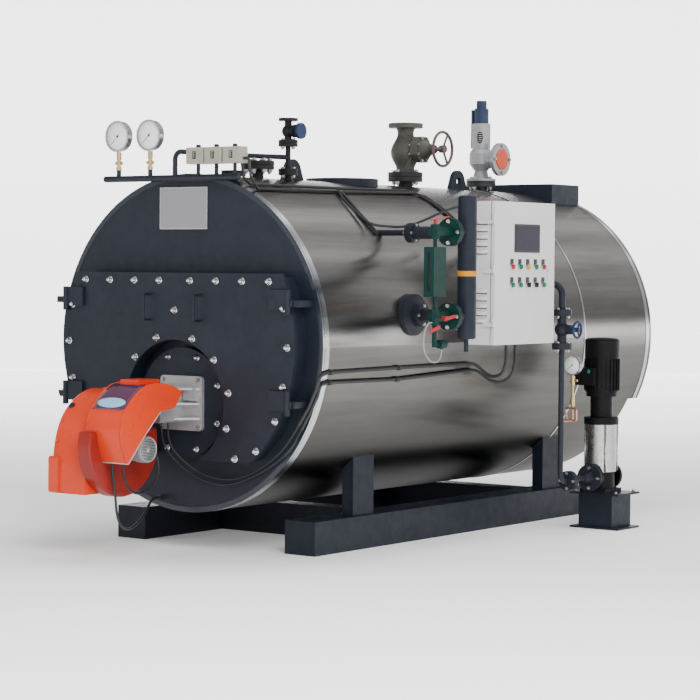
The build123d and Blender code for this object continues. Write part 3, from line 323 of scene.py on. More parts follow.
PALEBLUE = painted("pale_blue_badge", (0.25, 0.5, 0.66), 0.3, 0.06)
YELLOW = painted("yellow_band", (0.56, 0.22, 0.006), 0.4, 0.06)
LAMPGREEN = moulded("green_button", (0.0, 0.12, 0.07), 0.25)
LAMPRED = moulded("red_button", (0.33, 0.01, 0.02), 0.25)
LAMPYELLOW = moulded("yellow_button", (0.55, 0.28, 0.01), 0.25)
PLATE = brushed("etched_plate", (0.4, 0.39, 0.41), 0.38, (60, 60, 60), 0.1)
FACE = painted("dial_face", (0.8, 0.81, 0.82), 0.35, 0.03, peel=0.02, coat=1.0)
INK = moulded("dial_ink", (0.01, 0.01, 0.012), 0.5)
WHITEBOLT = plain_metal("white_zinc_bolt", (0.8, 0.82, 0.82), 0.3)


FEEDGAUGE = gauge_fittings("feed_gauge_metals")


def between(tree, axis, low, high):
    """One where the coordinate lies between two values, in metres, and else zero."""
    value = place_of(tree, axis)
    above = calculate(tree, "GREATER_THAN", value, low)
    return calculate(tree, "MULTIPLY", above, calculate(tree, "LESS_THAN", value, high))


def recolour(mat, mask, colour, metallic):
    """Another colour and another share of metal where the mask is one."""
    tree = mat.node_tree
    tint, metal = (tree.nodes["Principled BSDF"].inputs[s] for s in ("Base Color", "Metallic"))
    tree.links.new(mixed(tree, mask, tint.links[0].from_socket, colour), tint)
    share = tree.nodes.new("ShaderNodeMix")
    feed(tree, mask, share.inputs[0])
    feed(tree, metal.links[0].from_socket if metal.links else metal.default_value,
         share.inputs[2])
    feed(tree, metallic, share.inputs[3])
    tree.links.new(share.outputs[0], metal)


def zones():
    """Places where one piece carries two finishes, or a band of painted shade: limits along an
    axis, in metres.
    """
    ahead, ground, sky = -2.0, 1.7, 2.5
    lip_face, groove_front, groove_back = -0.8572, -0.8455, -0.8425
    safety_flange, cap_foot = 1.842, 2.162
    guard_foot, guard_side = 2.024, -0.0405
    steam_flange = 1.8615
    blue = (0.008, 0.018, 0.055)
    tree = TRIM.node_tree
    recolour(TRIM, between(tree, "Y", ahead, lip_face), (0.012, 0.016, 0.026), 0.0)
    # Painted shade: a dark band in the groove between the trim's two bright rings.
    recolour(TRIM, between(tree, "Y", groove_front, groove_back), (0.08, 0.08, 0.09), 1.0)
    tree = SILVER.node_tree
    recolour(SILVER, between(tree, "Z", ground, safety_flange), (0.02, 0.021, 0.024), 0.2)
    recolour(SILVER, between(tree, "Z", cap_foot, sky), blue, 0.0)
    guard = calculate(tree, "MULTIPLY", between(tree, "X", -0.2, guard_side),
                      between(tree, "Z", guard_foot, sky))
    recolour(SILVER, guard, blue, 0.0)
    foot = between(OLIVE.node_tree, "Z", ground, steam_flange)
    recolour(OLIVE, foot, (0.016, 0.016, 0.018), 0.2)


zones()

finish = {
    "shell_front": CLAD, "shell_rear": CLAD, "smoke_box_shell": CLAD, "front_plate": NAVY,
    "cladding_trim": TRIM, "rear_end": NAVY, "smoke_box_door": NAVY, "smoke_box_frame": NAVY,
    "door_hinges": NAVY, "door_handles": NAVY, "burner_plate": NAVY, "burner_mount": ALU,
    "burner_hood": ORANGE, "burner_fan": ORANGE, "burner_scroll": SCARLET,
    "burner_motor": MOTOR, "skid_beams": SKID, "skid_cross_members": SKID,
    "saddle_legs": SKID, "lifting_lugs": NAVY, "blank_nozzles": IRON, "manhole": NAVY,
    "vent_valve": IRON, "vent_handwheel": BLUE, "main_steam_valve": OLIVE,
    "main_handwheel": WHEEL, "safety_valve": SILVER, "safety_outlet_cover": CAP,
    "flue_outlet": NAVY, "gauge_manifold": DARKPIPE, "gauge_cocks": BRASS,
    "pressure_gauges": STEEL, "pressure_controllers": CONTROL, "column_pipes": DARKPIPE,
    "water_column": NAVY, "level_gauge": GREEN, "level_cock_levers": RED,
    "cabinet_box": SHELLGREY, "cabinet_door": SHELLGREY, "feed_line": DARKPIPE,
    "feed_valve": DARKPIPE, "feed_handwheel": BLUE, "feed_gauge": FEEDGAUGE,
    "pump_stand": SKID, "pump_base": PUMPBLACK, "pump_sleeve": STEEL,
    "pump_head": PUMPBLACK, "pump_motor": PUMPBLACK, "fixed_cables": RUBBER,
}
for name, obj in nodes.items():
    mat = finish.get(name, DARKPIPE)
    if obj.data.materials:
        for slot in obj.material_slots:
            slot.material = mat
    else:
        obj.data.materials.append(mat)


# Camera, floor and light

def make_camera():
    """The photograph's camera, solved from the drum's two end ellipses."""
    place = (6.981, -9.088, 1.356)
    yaw, pitch, roll = (math.radians(angle) for angle in (-36.438, 2.1327, 0.463))
    ahead = Vector((math.sin(yaw) * math.cos(pitch), math.cos(yaw) * math.cos(pitch),
                    -math.sin(pitch)))
    right = Vector((math.cos(yaw), -math.sin(yaw), 0))
    up = right.cross(ahead)
    right, up = (math.cos(roll) * right + math.sin(roll) * up,
                 -math.sin(roll) * right + math.cos(roll) * up)
    data = bpy.data.cameras.new("camera")
    data.sensor_width = 36
    data.lens = 116.869
    data.shift_x = 0.01256
    data.shift_y = 0.00139
    data.clip_end = 200
    camera = bpy.data.objects.new("camera", data)
    turn = Matrix((right, up, -ahead)).transposed().to_4x4()
    camera.matrix_world = Matrix.Translation(place) @ turn
    bpy.context.collection.objects.link(camera)
    bpy.context.scene.camera = camera


def make_floor():
    """A pale studio floor, with a low curved backdrop behind the boiler; both carry a painted
    glow that is dim around the boiler.
    """
    away = Vector((-0.594, 0.804, 0))
    across = Vector((0.804, 0.594, 0))
    foot, bend, top = 18.0, 3.0, 8.0
    sweep = [(foot - 0.4, 0.002)]
    sweep += [(foot + bend * math.sin(a), bend - bend * math.cos(a))
              for a in [math.pi / 2 * k / 16 for k in range(17)]]
    sweep.append((foot + bend, top))
    mat, tree, shader = new_material("studio_white", sheen=0.1)
    shader.inputs["Base Color"].default_value = (0.84, 0.84, 0.84, 1)
    shader.inputs["Roughness"].default_value = 0.9
    shader.inputs["Emission Color"].default_value = (1, 1, 1, 1)
    reach = tree.nodes.new("ShaderNodeVectorMath")
    reach.operation = "DOT_PRODUCT"
    reach.inputs[1].default_value = away
    tree.links.new(coordinates(tree, (0.05, 0.05, 0.05)), reach.inputs[0])
    shift = calculate(tree, "ADD", reach.outputs["Value"], 0.3)
    # Painted light: the floor and backdrop glow, faintly around the boiler and brighter in front
    # of it and far behind it.
    painted_glow = ramp(tree, shift, [(0.06, 0.6), (0.24, 0.08), (0.42, 0.08), (0.75, 0.8), (1.0, 1.0)])
    lift = calculate(tree, "MULTIPLY", painted_glow, 2.4)
    tree.links.new(lift, shader.inputs["Emission Strength"])
    for name, profile, half in (("studio_floor", [(-60, 0), (60, 0)], 60),
                                ("studio_backdrop", sweep, 9)):
        verts = [away * d + across * side + Vector((0, 0, z))
                 for d, z in profile for side in (-half, half)]
        faces = [(2 * k, 2 * k + 1, 2 * k + 3, 2 * k + 2) for k in range(len(profile) - 1)]
        mesh = bpy.data.meshes.new(name)
        mesh.from_pydata(verts, [], faces)
        for poly in mesh.polygons:
            poly.use_smooth = True
        mesh.materials.append(mat)
        floor = bpy.data.objects.new(name, mesh)
        bpy.context.collection.objects.link(floor)


def area_light(name, place, aim, size, power):
    data = bpy.data.lights.new(name, "AREA")
    data.shape = "RECTANGLE"
    data.size, data.size_y = size
    data.energy = power
    light = bpy.data.objects.new(name, data)
    light.location = place
    light.visible_glossy = False
    light.rotation_euler = (Vector(aim) - Vector(place)).to_track_quat("-Z", "Y").to_euler()
    bpy.context.collection.objects.link(light)


def make_world():
    """A pale studio with long ceiling strips beside the drum."""
    sky = bpy.data.worlds.new("studio")
    bpy.context.scene.world = sky
    sky.use_nodes = True
    tree = sky.node_tree
    back = tree.nodes["Background"]
    where = tree.nodes.new("ShaderNodeTexCoord")
    split = tree.nodes.new("ShaderNodeSeparateXYZ")
    tree.links.new(where.outputs["Generated"], split.inputs[0])
    angle = calculate(tree, "ARCTAN2", split.outputs["Z"], split.outputs["X"])
    tone = ramp(tree, calculate(tree, "DIVIDE", angle, math.pi), [
        (0.0, 1.0), (0.03, 0.95), (0.048, 0.12), (0.09, 0.1), (0.14, 0.13), (0.2, 0.2),
        (0.255, 0.2), (0.3, 0.15), (0.335, 0.25), (0.355, 0.85), (0.375, 0.25), (0.42, 0.16),
        (0.49, 0.13), (0.517, 0.5), (0.535, 1.0), (0.553, 0.5), (0.58, 0.12), (0.65, 0.09),
        (0.8, 0.12), (0.9, 0.18), (1.0, 0.22),
    ])
    tree.links.new(tone, back.inputs["Color"])
    back.inputs["Strength"].default_value = 2.8


make_camera()
make_floor()
make_world()
area_light("key", (5.5, -4.5, 5.0), (0, 0.5, 1.0), (3.5, 3.5), 560)
area_light("fill", (-4.5, -5.0, 4.0), (0, 0, 1.0), (3, 3), 110)
area_light("top", (1.0, 1.0, 5.5), (0, 0.5, 1.0), (2.5, 5.0), 260)


# Small pieces: meshes, turned shapes, nuts and bolts

def link_mesh(name, verts, faces, mat, smooth=True, body=root):
    mesh = bpy.data.meshes.new(name)
    mesh.from_pydata([tuple(v) for v in verts], [], faces)
    mesh.validate()
    mesh.update()
    if smooth:
        for poly in mesh.polygons:
            poly.use_smooth = True
    mesh.materials.append(mat)
    obj = bpy.data.objects.new(name, mesh)
    bpy.context.collection.objects.link(obj)
    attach(obj, body)


def gather(parts):
    """Several lists of points and faces as one."""
    verts, faces = [], []
    for v, f in parts:
        base = len(verts)
        verts += v
        faces += [tuple(i + base for i in face) for face in f]
    return verts, faces


def shell_faces(rings, count, first_closed=True):
    """Faces between rings of points, with the last ring closed and as a rule the first."""
    faces = []
    for ring in range(rings - 1):
        for k in range(count):
            n = (k + 1) % count
            faces.append((ring * count + k, ring * count + n, (ring + 1) * count + n,
                          (ring + 1) * count + k))
    if first_closed:
        faces.append(tuple(range(count))[::-1])
    faces.append(tuple((rings - 1) * count + k for k in range(count)))
    return faces


def circle_of(origin, axis, radius, count, start=0.0):
    axis = Vector(axis).normalized()
    side = axis.orthogonal().normalized()
    other = axis.cross(side)
    return [Vector(origin) + (side * math.cos(start + 2 * math.pi * k / count)
                              + other * math.sin(start + 2 * math.pi * k / count)) * radius
            for k in range(count)]


def lathe(profile, axis, origin, segments=20):
    """Points and faces of a profile of (radius, height) turned about an axis."""
    axis = Vector(axis).normalized()
    verts = []
    for radius, height in profile:
        verts += circle_of(Vector(origin) + axis * height, axis, radius, segments)
    return verts, shell_faces(len(profile), segments)


def hexagon(origin, axis, across, height, spin=0.0):
    """A six-sided head with eased edges."""
    axis = Vector(axis).normalized()
    radius = across / math.sqrt(3)
    profile = ((0.93, 0), (1, 0.06), (1, 0.86), (0.9, 1))
    verts = []
    for share, rise in profile:
        verts += circle_of(Vector(origin) + axis * height * rise, axis, radius * share, 6, spin)
    return verts, shell_faces(len(profile), 6)


def dome_nut(origin, axis, size):
    """A cap nut on its washer."""
    lift = size * 0.1
    washer = lathe([(size * 0.72, 0), (size * 0.72, lift), (0.001, lift)], axis, origin, 20)
    start = Vector(origin) + Vector(axis).normalized() * lift
    nut = hexagon(start, axis, size, size * 0.4)
    ball, foot = size * 0.46, size * 0.45
    dome = lathe([(ball, size * 0.35)]
                 + [(ball * math.cos(a), foot + ball * math.sin(a))
                    for a in [math.pi / 2 * k / 6 for k in range(6)]] + [(0.0006, foot + ball)],
                 axis, start, 18)
    return gather([washer, nut, dome])


def bolt(origin, axis, size, spin=0.0):
    lift = size * 0.12
    washer = lathe([(size * 0.62, 0), (size * 0.62, lift), (0.001, lift)], axis, origin, 16)
    start = Vector(origin) + Vector(axis).normalized() * lift
    return gather([washer, hexagon(start, axis, size, size * 0.55, spin)])


def rod_between(start, end, radius, segments=12):
    return lathe([(radius, 0), (radius, (end - start).length)], end - start, start, segments)


def door_nuts():
    """Twenty-nine nuts on the smoke-box door and eight on the burner plate."""
    door_face, plate_face = -100, -40
    places = []
    for x, z in ((95, 1284), (251, 1284), (407, 1284), (564, 1284), (649, 1163), (672, 985),
                 (648, 805), (605, 647), (495, 505), (371, 463), (110, 1012), (243, 917),
                 (330, 766), (320, 601)):
        places += [(x, z), (-x, z)]
    places.append((0, 1144))
    parts = [dome_nut(world(x, door_face, z), FORWARD, 0.024) for x, z in places]
    link_mesh("door_dome_nuts", *gather(parts), NUT)
    burner_height, circle = 705, 233
    turns = [math.radians(22.5 + 45 * k) for k in range(8)]
    ring = [dome_nut(world(circle * math.cos(a), plate_face,
                           burner_height + circle * math.sin(a)), FORWARD, 0.02) for a in turns]
    link_mesh("burner_plate_dome_nuts", *gather(ring), NUT)


# Details on the surfaces

def block(low, high, edge=1.0):
    """A box between two corners, given as across, depth and height, with rounded edges."""
    bm = bmesh.new()
    bmesh.ops.create_cube(bm, size=1)
    a, b = world(*low), world(*high)
    for vert in bm.verts:
        vert.co = Vector([(a[i] + b[i]) / 2 + vert.co[i] * abs(b[i] - a[i]) for i in range(3)])
    if edge:
        bmesh.ops.bevel(bm, geom=list(bm.edges), offset=edge / 1000, segments=2,
                        affect="EDGES", profile=0.5)
    bm.verts.index_update()
    verts = [vert.co.copy() for vert in bm.verts]
    faces = [tuple(vert.index for vert in face.verts) for face in bm.faces]
    bm.free()
    return verts, faces


def disc(x, depth, z, axis, radius, height, segments=40):
    """A low round piece with an eased rim."""
    r, h, edge = radius / 1000, height / 1000, 0.0006
    return lathe([(r, 0), (r, h - edge), (r - edge, h), (TIP, h)], axis, world(x, depth, z),
                 segments)


def tick(centre, radius, length, angle, width, lift):
    """A mark on a dial that faces the front."""
    out = Vector((math.sin(angle), 0, math.cos(angle)))
    side = Vector((math.cos(angle), 0, -math.sin(angle)))
    forward = Vector((0, -1, 0))
    near = centre + out * (radius - length)
    far = centre + out * radius
    ring = [near - side * width, near + side * width, far + side * width, far - side * width]
    verts = ring + [v + forward * lift for v in ring]
    return verts, [(4, 5, 6, 7), (0, 1, 5, 4), (1, 2, 6, 5), (2, 3, 7, 6), (3, 0, 4, 7)]


def dial(name, x, depth, z, radius, needle):
    """White face with graduations, a needle and its hub."""
    glass = 0.8
    link_mesh(name + "_face", *disc(x, depth, z, FORWARD, radius, glass), FACE)
    centre = world(x, depth - glass, z)
    r = radius / 1000
    marks = []
    for k in range(31):
        length, width = (0.17, 0.012) if k % 5 == 0 else (0.09, 0.006)
        marks.append(tick(centre, r * 0.9, r * length, math.radians(-135 + 9 * k), r * width,
                          0.0003))
    marks.append(tick(centre, r * 0.74, r * 0.96, math.radians(needle), r * 0.016, 0.0012))
    marks.append(lathe([(r * 0.09, 0), (r * 0.09, 0.0018), (TIP, 0.0018)], FORWARD, centre, 20))
    link_mesh(name + "_marks", *gather(marks), INK, smooth=False)


def flange_bolts(name, centre, axis, radius, count, size, grip, start=math.pi / 4, mat=ZINC):
    """Hexagon bolts through a flange pair, with a nut and a thread end behind."""
    axis = Vector(axis)
    head = size / 1000
    parts = []
    for place in circle_of(world(*centre), axis, radius / 1000, count, start):
        back = place - axis * grip / 1000
        parts += [bolt(place, axis, head, 0.3), bolt(back, -axis, head, 0.1)]
        parts.append(lathe([(head * 0.28, 0), (head * 0.28, head), (head * 0.2, head * 1.1)],
                           -axis, back, 12))
    link_mesh(name, *gather(parts), mat, smooth=False)


def steam_bolts():
    """Every flange: where it is, its bolt circle, count, bolt size and grip."""
    port = 270
    eighth = 0.39
    flange_bolts("blank_flange_bolts", (*BLANK_NOZZLE, 1870), UP, 62, 8, 20, 42, eighth)
    flange_bolts("steam_base_bolts", (*STEAM_VALVE, 1862), UP, 72.5, 4, 20, 50)
    flange_bolts("safety_base_bolts", (*SAFETY_VALVE, 1854), UP, 64, 4, 18, 46)
    flange_bolts("safety_outlet_bolts", (138, SAFETY_VALVE[1], 1960), ACROSS, 74, 4, 16, 22)
    flange_bolts("vent_base_bolts", (*VENT_VALVE, 1836), UP, 37, 4, 13, 32)
    flange_bolts("vent_upper_bolts", (*VENT_VALVE, 1978), UP, 37, 4, 13, 32)
    flange_bolts("steam_bonnet_bolts", (120, STEAM_VALVE[1], 1981), ACROSS, 64, 8, 13, 44, eighth)
    flange_bolts("upper_tapping_bolts", (808, WATER_COLUMN[1], UPPER_COCK), ACROSS, 37, 4, 13, 34)
    flange_bolts("lower_tapping_bolts", (860, WATER_COLUMN[1], LOWER_COCK), ACROSS, 43, 4, 13, 34)
    flange_bolts("feed_valve_upper_bolts", (*FEED_PIPE, 1146.3), UP, 38, 4, 13, 32.3)
    flange_bolts("feed_valve_lower_bolts", (*FEED_PIPE, 976), UP, 38, 4, 13, 32.3)
    flange_bolts("feed_flange_bolts", (PUMP[0], 1770, port), FORWARD, 38, 4, 13, 34)
    flange_bolts("pump_port_bolts", (PUMP[0], 1993, port), FORWARD, 52, 4, 14, 36)
    for name, z in (("upper_cock_bolts", UPPER_COCK), ("lower_cock_bolts", LOWER_COCK)):
        flange_bolts(name, (WATER_COLUMN[0], 557, z), FORWARD, 50, 4, 15, 32, mat=WHITEBOLT)
    cover_top, circle = 1790, 186 * 0.86
    parts = [dome_nut(world(MANHOLE[0] + circle * math.cos(a), MANHOLE[1] + circle * math.sin(a),
                            cover_top), UP, 0.014)
             for a in [math.pi * k / 8 for k in range(16)]]
    link_mesh("manhole_nuts", *gather(parts), ZINC)


def barrel_patch(rise, half_width, half_height, lift):
    """An oval sheet laid on the safety valve's barrel, on the side that shows."""
    radius, heading, count = 51, math.radians(-66), 36
    middle = 2083
    rings = ((lift - 2.0, 1.0), (lift, 1.0), (lift, 0.7), (lift, 0.3))
    verts = []
    for proud, share in rings:
        for k in range(count):
            a = 2 * math.pi * k / count
            turn = heading + half_width * share * math.cos(a) / radius
            verts.append(world(SAFETY_VALVE[0] + (radius + proud) * math.cos(turn),
                               SAFETY_VALVE[1] + (radius + proud) * math.sin(turn),
                               middle + rise + half_height * share * math.sin(a)))
    return verts, shell_faces(len(rings), count, first_closed=False)


def safety_window():
    """The oval hole of the bonnet as a black patch of painted shade for its dark inside, with the
    spring's coils behind it.
    """
    # Painted shade: the black oval stands in for the shade inside the bonnet's opening.
    link_mesh("safety_window", *barrel_patch(0, 17, 33, 0.7), INK)
    coils = [barrel_patch(rise, half, 2.4, 1.5)
             for rise, half in ((-22, 9), (-11, 13), (0, 14), (11, 13), (22, 9))]
    link_mesh("safety_spring_coils", *gather(coils), STEEL)


def column_band():
    """The yellow band round the water column."""
    inner, outer, width, edge = 0.0448, 0.0453, 0.025, 0.0006
    band = lathe([(inner, 0), (outer, edge), (outer, width - edge), (inner, width)], UP,
                 world(*WATER_COLUMN, 1314), 48)
    link_mesh("column_band", *band, YELLOW)


def nameplate():
    """Bare etched plate with its rim and four rivets."""
    left, right, low, high = -179, 115, 1526, 1725
    face, rim_face, rim = -2.5, -3.3, 5
    link_mesh("nameplate", *block((left, face, low), (right, 0, high), 0.8), PLATE, smooth=False)
    bars = [block((left, rim_face, z), (right, face, z + rim), 0.2) for z in (low, high - rim)]
    bars += [block((x, rim_face, low + rim), (x + rim, face, high - rim), 0.2)
             for x in (left, right - rim)]
    link_mesh("nameplate_rim", *gather(bars), STEEL, smooth=False)
    inset = 11
    rivets = [lathe([(0.005, 0), (0.0046, 0.0014), (0.003, 0.0026), (TIP, 0.003)], FORWARD,
                    world(x, face, z), 14)
              for x in (left + inset, right - inset) for z in (low + inset, high - inset)]
    link_mesh("nameplate_rivets", *gather(rivets), STEEL)


def control_screen():
    """A framed dark screen on the cabinet's door."""
    frame_face, glass_face, rim = DOOR_FACE + 3.5, DOOR_FACE + 4.3, 10
    front, back, low, high = 1219, 1454, 1431, 1570
    link_mesh("panel_frame", *block((DOOR_FACE, front, low), (frame_face, back, high), 1.2),
              BLACK, smooth=False, body=DOOR)
    link_mesh("panel_screen", *block((frame_face, front + rim, low + rim),
                                     (glass_face, back - rim, high - rim), 0.3),
              SCREEN, smooth=False, body=DOOR)


def button(place, colour):
    """A lamp or push button, or a black switch with its grip."""
    depth, z = place[1:]
    if colour is BLACK:
        return gather([
            lathe([(0.012, 0.004), (0.012, 0.012), (0.0105, 0.014), (TIP, 0.014)], ACROSS,
                  world(*place), 24),
            block((DOOR_FACE + 14, depth - 3.4, z - 12), (DOOR_FACE + 21, depth + 3.4, z + 12),
                  1.2)])
    return lathe([(0.0118, 0.004), (0.0118, 0.013), (0.0105, 0.0155), (0.006, 0.0165),
                  (TIP, 0.0168)], ACROSS, world(*place), 28)


def buttons():
    """Two rows of five, each with its rim and a blank tag above it."""
    rows = ((1361, (LAMPRED, LAMPGREEN, LAMPYELLOW, LAMPGREEN, LAMPRED)),
            (1272, (LAMPGREEN, LAMPGREEN, BLACK, BLACK, LAMPGREEN)))
    first, pitch = 1198, 72.5
    for row, (z, colours) in enumerate(rows):
        tags, rims = [], []
        for k, colour in enumerate(colours):
            depth = first + pitch * k
            place = (DOOR_FACE, depth, z)
            tags.append(block((DOOR_FACE, depth - 15, z + 6), (DOOR_FACE + 2, depth + 15, z + 38),
                              0.6))
            rims.append(lathe([(0.0155, 0), (0.0155, 0.004), (0.0135, 0.006), (0.012, 0.006)],
                              ACROSS, world(*place), 28))
            link_mesh(f"button_{row + 1}_{k + 1}", *button(place, colour), colour, body=DOOR)
        link_mesh(f"button_tags_{row + 1}", *gather(tags), BLACK, smooth=False, body=DOOR)
        link_mesh(f"button_rims_{row + 1}", *gather(rims), STEEL, body=DOOR)


def cabinet_lock():
    plate_face = DOOR_FACE + 3
    lock = [block((DOOR_FACE, 1521, 1262), (plate_face, 1539, 1362), 1.4),
            block((plate_face, 1524, 1270), (DOOR_FACE + 10, 1536, 1322), 2.0)]
    link_mesh("cabinet_lock", *gather(lock), SHELLGREY, smooth=False, body=DOOR)
    barrel = lathe([(0.007, 0), (0.007, 0.003), (0.005, 0.0036), (TIP, 0.0036)], ACROSS,
                   world(plate_face, 1530, 1344), 20)
    link_mesh("cabinet_lock_barrel", *barrel, STEEL, body=DOOR)


def louvres():
    """Two sets of five on the cabinet's front side."""
    near, far, pitch = 943, 1009, 36
    heights = [top - pitch * k for top in (1577, 1242) for k in range(5)]
    hoods = [hooded_slot(near, far, z) for z in heights]
    # Painted shade: a black strip under each hood stands in for the dark inside seen through its
    # opening.
    slot_shade = [block((near + 2, LOUVRE_SIDE - 0.7, z - 14), (far - 2, LOUVRE_SIDE, z - 7), 0.1)
             for z in heights]
    link_mesh("cabinet_louvres", *gather(hoods), SHELLGREY)
    link_mesh("cabinet_louvre_slot_shade", *gather(slot_shade), BLACK, smooth=False)


def hooded_slot(x0, x1, z):
    """A pressed louvre: a hood that rises from the sheet towards its open lower edge."""
    section = [(0, 13), (3.6, 9), (7.6, 1), (9.6, -7), (9.3, -10), (7.0, -9), (0, 7)]
    ends = [(x0, 0.25), (x0 + 7, 1), (x1 - 7, 1), (x1, 0.25)]
    verts = [world(x, LOUVRE_SIDE - proud * share, z + rise * (0.6 + 0.4 * share))
             for x, share in ends for proud, rise in section]
    return verts, shell_faces(len(ends), len(section))


def on_crown(share):
    """A point and outward direction on the hood's crown, by its place from rear to front."""
    points = [(-172, 766), (-245, 797), (-343, 811), (-428, 798), (-504, 750), (-564, 682),
              (-586, 622), (-582, 551), (-547, 453)]
    place = share * (len(points) - 1)
    k = min(int(place), len(points) - 2)
    t = place - k
    p0, p1, p2, p3 = (points[max(0, min(len(points) - 1, k + i))] for i in (-1, 0, 1, 2))
    spot = [0.5 * (2 * p1[i] + (p2[i] - p0[i]) * t
                   + (2 * p0[i] - 5 * p1[i] + 4 * p2[i] - p3[i]) * t * t
                   + (3 * p1[i] - p0[i] - 3 * p2[i] + p3[i]) * t ** 3) for i in (0, 1)]
    step = [0.5 * ((p2[i] - p0[i]) + 2 * (2 * p0[i] - 5 * p1[i] + 4 * p2[i] - p3[i]) * t
                   + 3 * (3 * p1[i] - p0[i] - 3 * p2[i] + p3[i]) * t * t) for i in (0, 1)]
    size = math.hypot(*step)
    return spot, (step[1] / size, -step[0] / size)


def on_hood(x, share, proud):
    """A point at a height over the hood's crown."""
    spot, out = on_crown(share)
    return world(x, spot[0] + out[0] * proud, spot[1] + out[1] * proud)


def crown_patch(outline, lift, thickness):
    """A sheet laid on the hood's crown: its rim is given across and along the crown."""
    rings = ((lift - thickness, 1.0), (lift, 1.0), (lift, 0.8), (lift, 0.4))
    middle = [sum(p[i] for p in outline) / len(outline) for i in (0, 1)]
    verts = [on_hood(middle[0] + (x - middle[0]) * share,
                     middle[1] + (place - middle[1]) * share, proud)
             for proud, share in rings for x, place in outline]
    return verts, shell_faces(len(rings), len(outline), first_closed=False)


def long_rib(x0, x1, proud):
    """A raised border that follows the whole crown."""
    steps = 48
    sunk, slope = -1.5, 1.5
    section = ((x0, sunk), (x0 + slope, proud), (x1 - slope, proud), (x1, sunk))
    verts = [on_hood(x, 0.01 + 0.98 * k / steps, lift)
             for k in range(steps + 1) for x, lift in section]
    return verts, shell_faces(steps + 1, len(section))


def hood_details():
    """The smoked window with its blank badge, between two rims with screws."""
    left, right, back, low = -96, 93, 0.34, 0.6
    corners = ((left, back), (left, low), (right, low), (right, back))
    side = 12
    rim = [(a[0] + (b[0] - a[0]) * k / side, a[1] + (b[1] - a[1]) * k / side)
           for a, b in zip(corners, corners[1:] + corners[:1]) for k in range(side)]
    link_mesh("hood_window", *crown_patch(rim, 3.0, 5.0), PURPLE)
    oval = [(-4 + 84 * math.cos(a), 0.548 + 0.038 * math.sin(a))
            for a in [2 * math.pi * k / 48 for k in range(48)]]
    link_mesh("hood_badge", *crown_patch(oval, 4.6, 2.0), PALEBLUE)
    proud, width = 2.4, 14
    ribs = [long_rib(x, x + width, proud) for x in (-112, 96)]
    link_mesh("hood_rims", *gather(ribs), ORANGE)
    screws = [bolt(on_hood(x, share, proud), (0, *on_crown(share)[1]), 0.008)
              for x in (-105, 103) for share in (0.6, 0.74, 0.93)]
    link_mesh("hood_screws", *gather(screws), ORANGE, smooth=False)


def motor_grille():
    """Bars across the end of the burner's motor."""
    x, depth, z = MOTOR_END
    grille = [lathe([(0.0575, 0), (0.0575, 0.004), (0.053, 0.004), (0.053, 0)], ACROSS,
                    world(*MOTOR_END), 40),
              lathe([(0.012, 0), (0.012, 0.0035), (TIP, 0.0035)], ACROSS, world(*MOTOR_END), 20)]
    reach, pitch, thick = 54, 7, 1.7
    for k in range(-7, 8):
        rise = k * pitch
        half = math.sqrt(reach ** 2 - rise ** 2)
        grille.append(block((x, depth - half, z + rise - thick),
                            (x + 2.4, depth + half, z + rise + thick), 0.4))
    link_mesh("motor_grille", *gather(grille), ALU)
    link_mesh("motor_grille_shade", *disc(*MOTOR_END, ACROSS, 53, 0.5), BLACK)


def burner_fittings():
    """The mount's bolts, the fan housing's plug and bosses, and the hood's seal."""
    studs = [bolt(world(x, -58, z), FORWARD, 0.016) for x in (-104, 116) for z in (594, 816)]
    link_mesh("mount_bolts", *gather(studs), ZINC, smooth=False)
    plug = lathe([(0.015, -0.014), (0.015, 0.007), (0.01, 0.01), (TIP, 0.01)],
                 (0, -0.67, 0.74), world(-288, -488, 697), 24)
    link_mesh("fan_plug", *plug, BLACK)
    bosses = [lathe([(0.009, -0.008), (0.008, 0.006), (0.0055, 0.008), (TIP, 0.008)], axis,
                    world(*place), 20)
              for place, axis in (((-230, -330, 772), (0, -0.2, 0.98)),
                                  ((-300, -541, 634), (0, -0.9, 0.43)),
                                  ((-300, -577, 540), (0, -0.98, 0.2)))]
    link_mesh("fan_bosses", *gather(bosses), ORANGE)
    bead = 0.0028
    edge = [(-547, 453), (-419, 593), (-326, 680)]
    seals = [rod_between(world(114, *a), world(114, *b), bead) for a, b in zip(edge, edge[1:])]
    seals.append(rod_between(world(-112, *edge[0]), world(115, *edge[0]), bead))
    link_mesh("hood_seal", *gather(seals), GASKET)


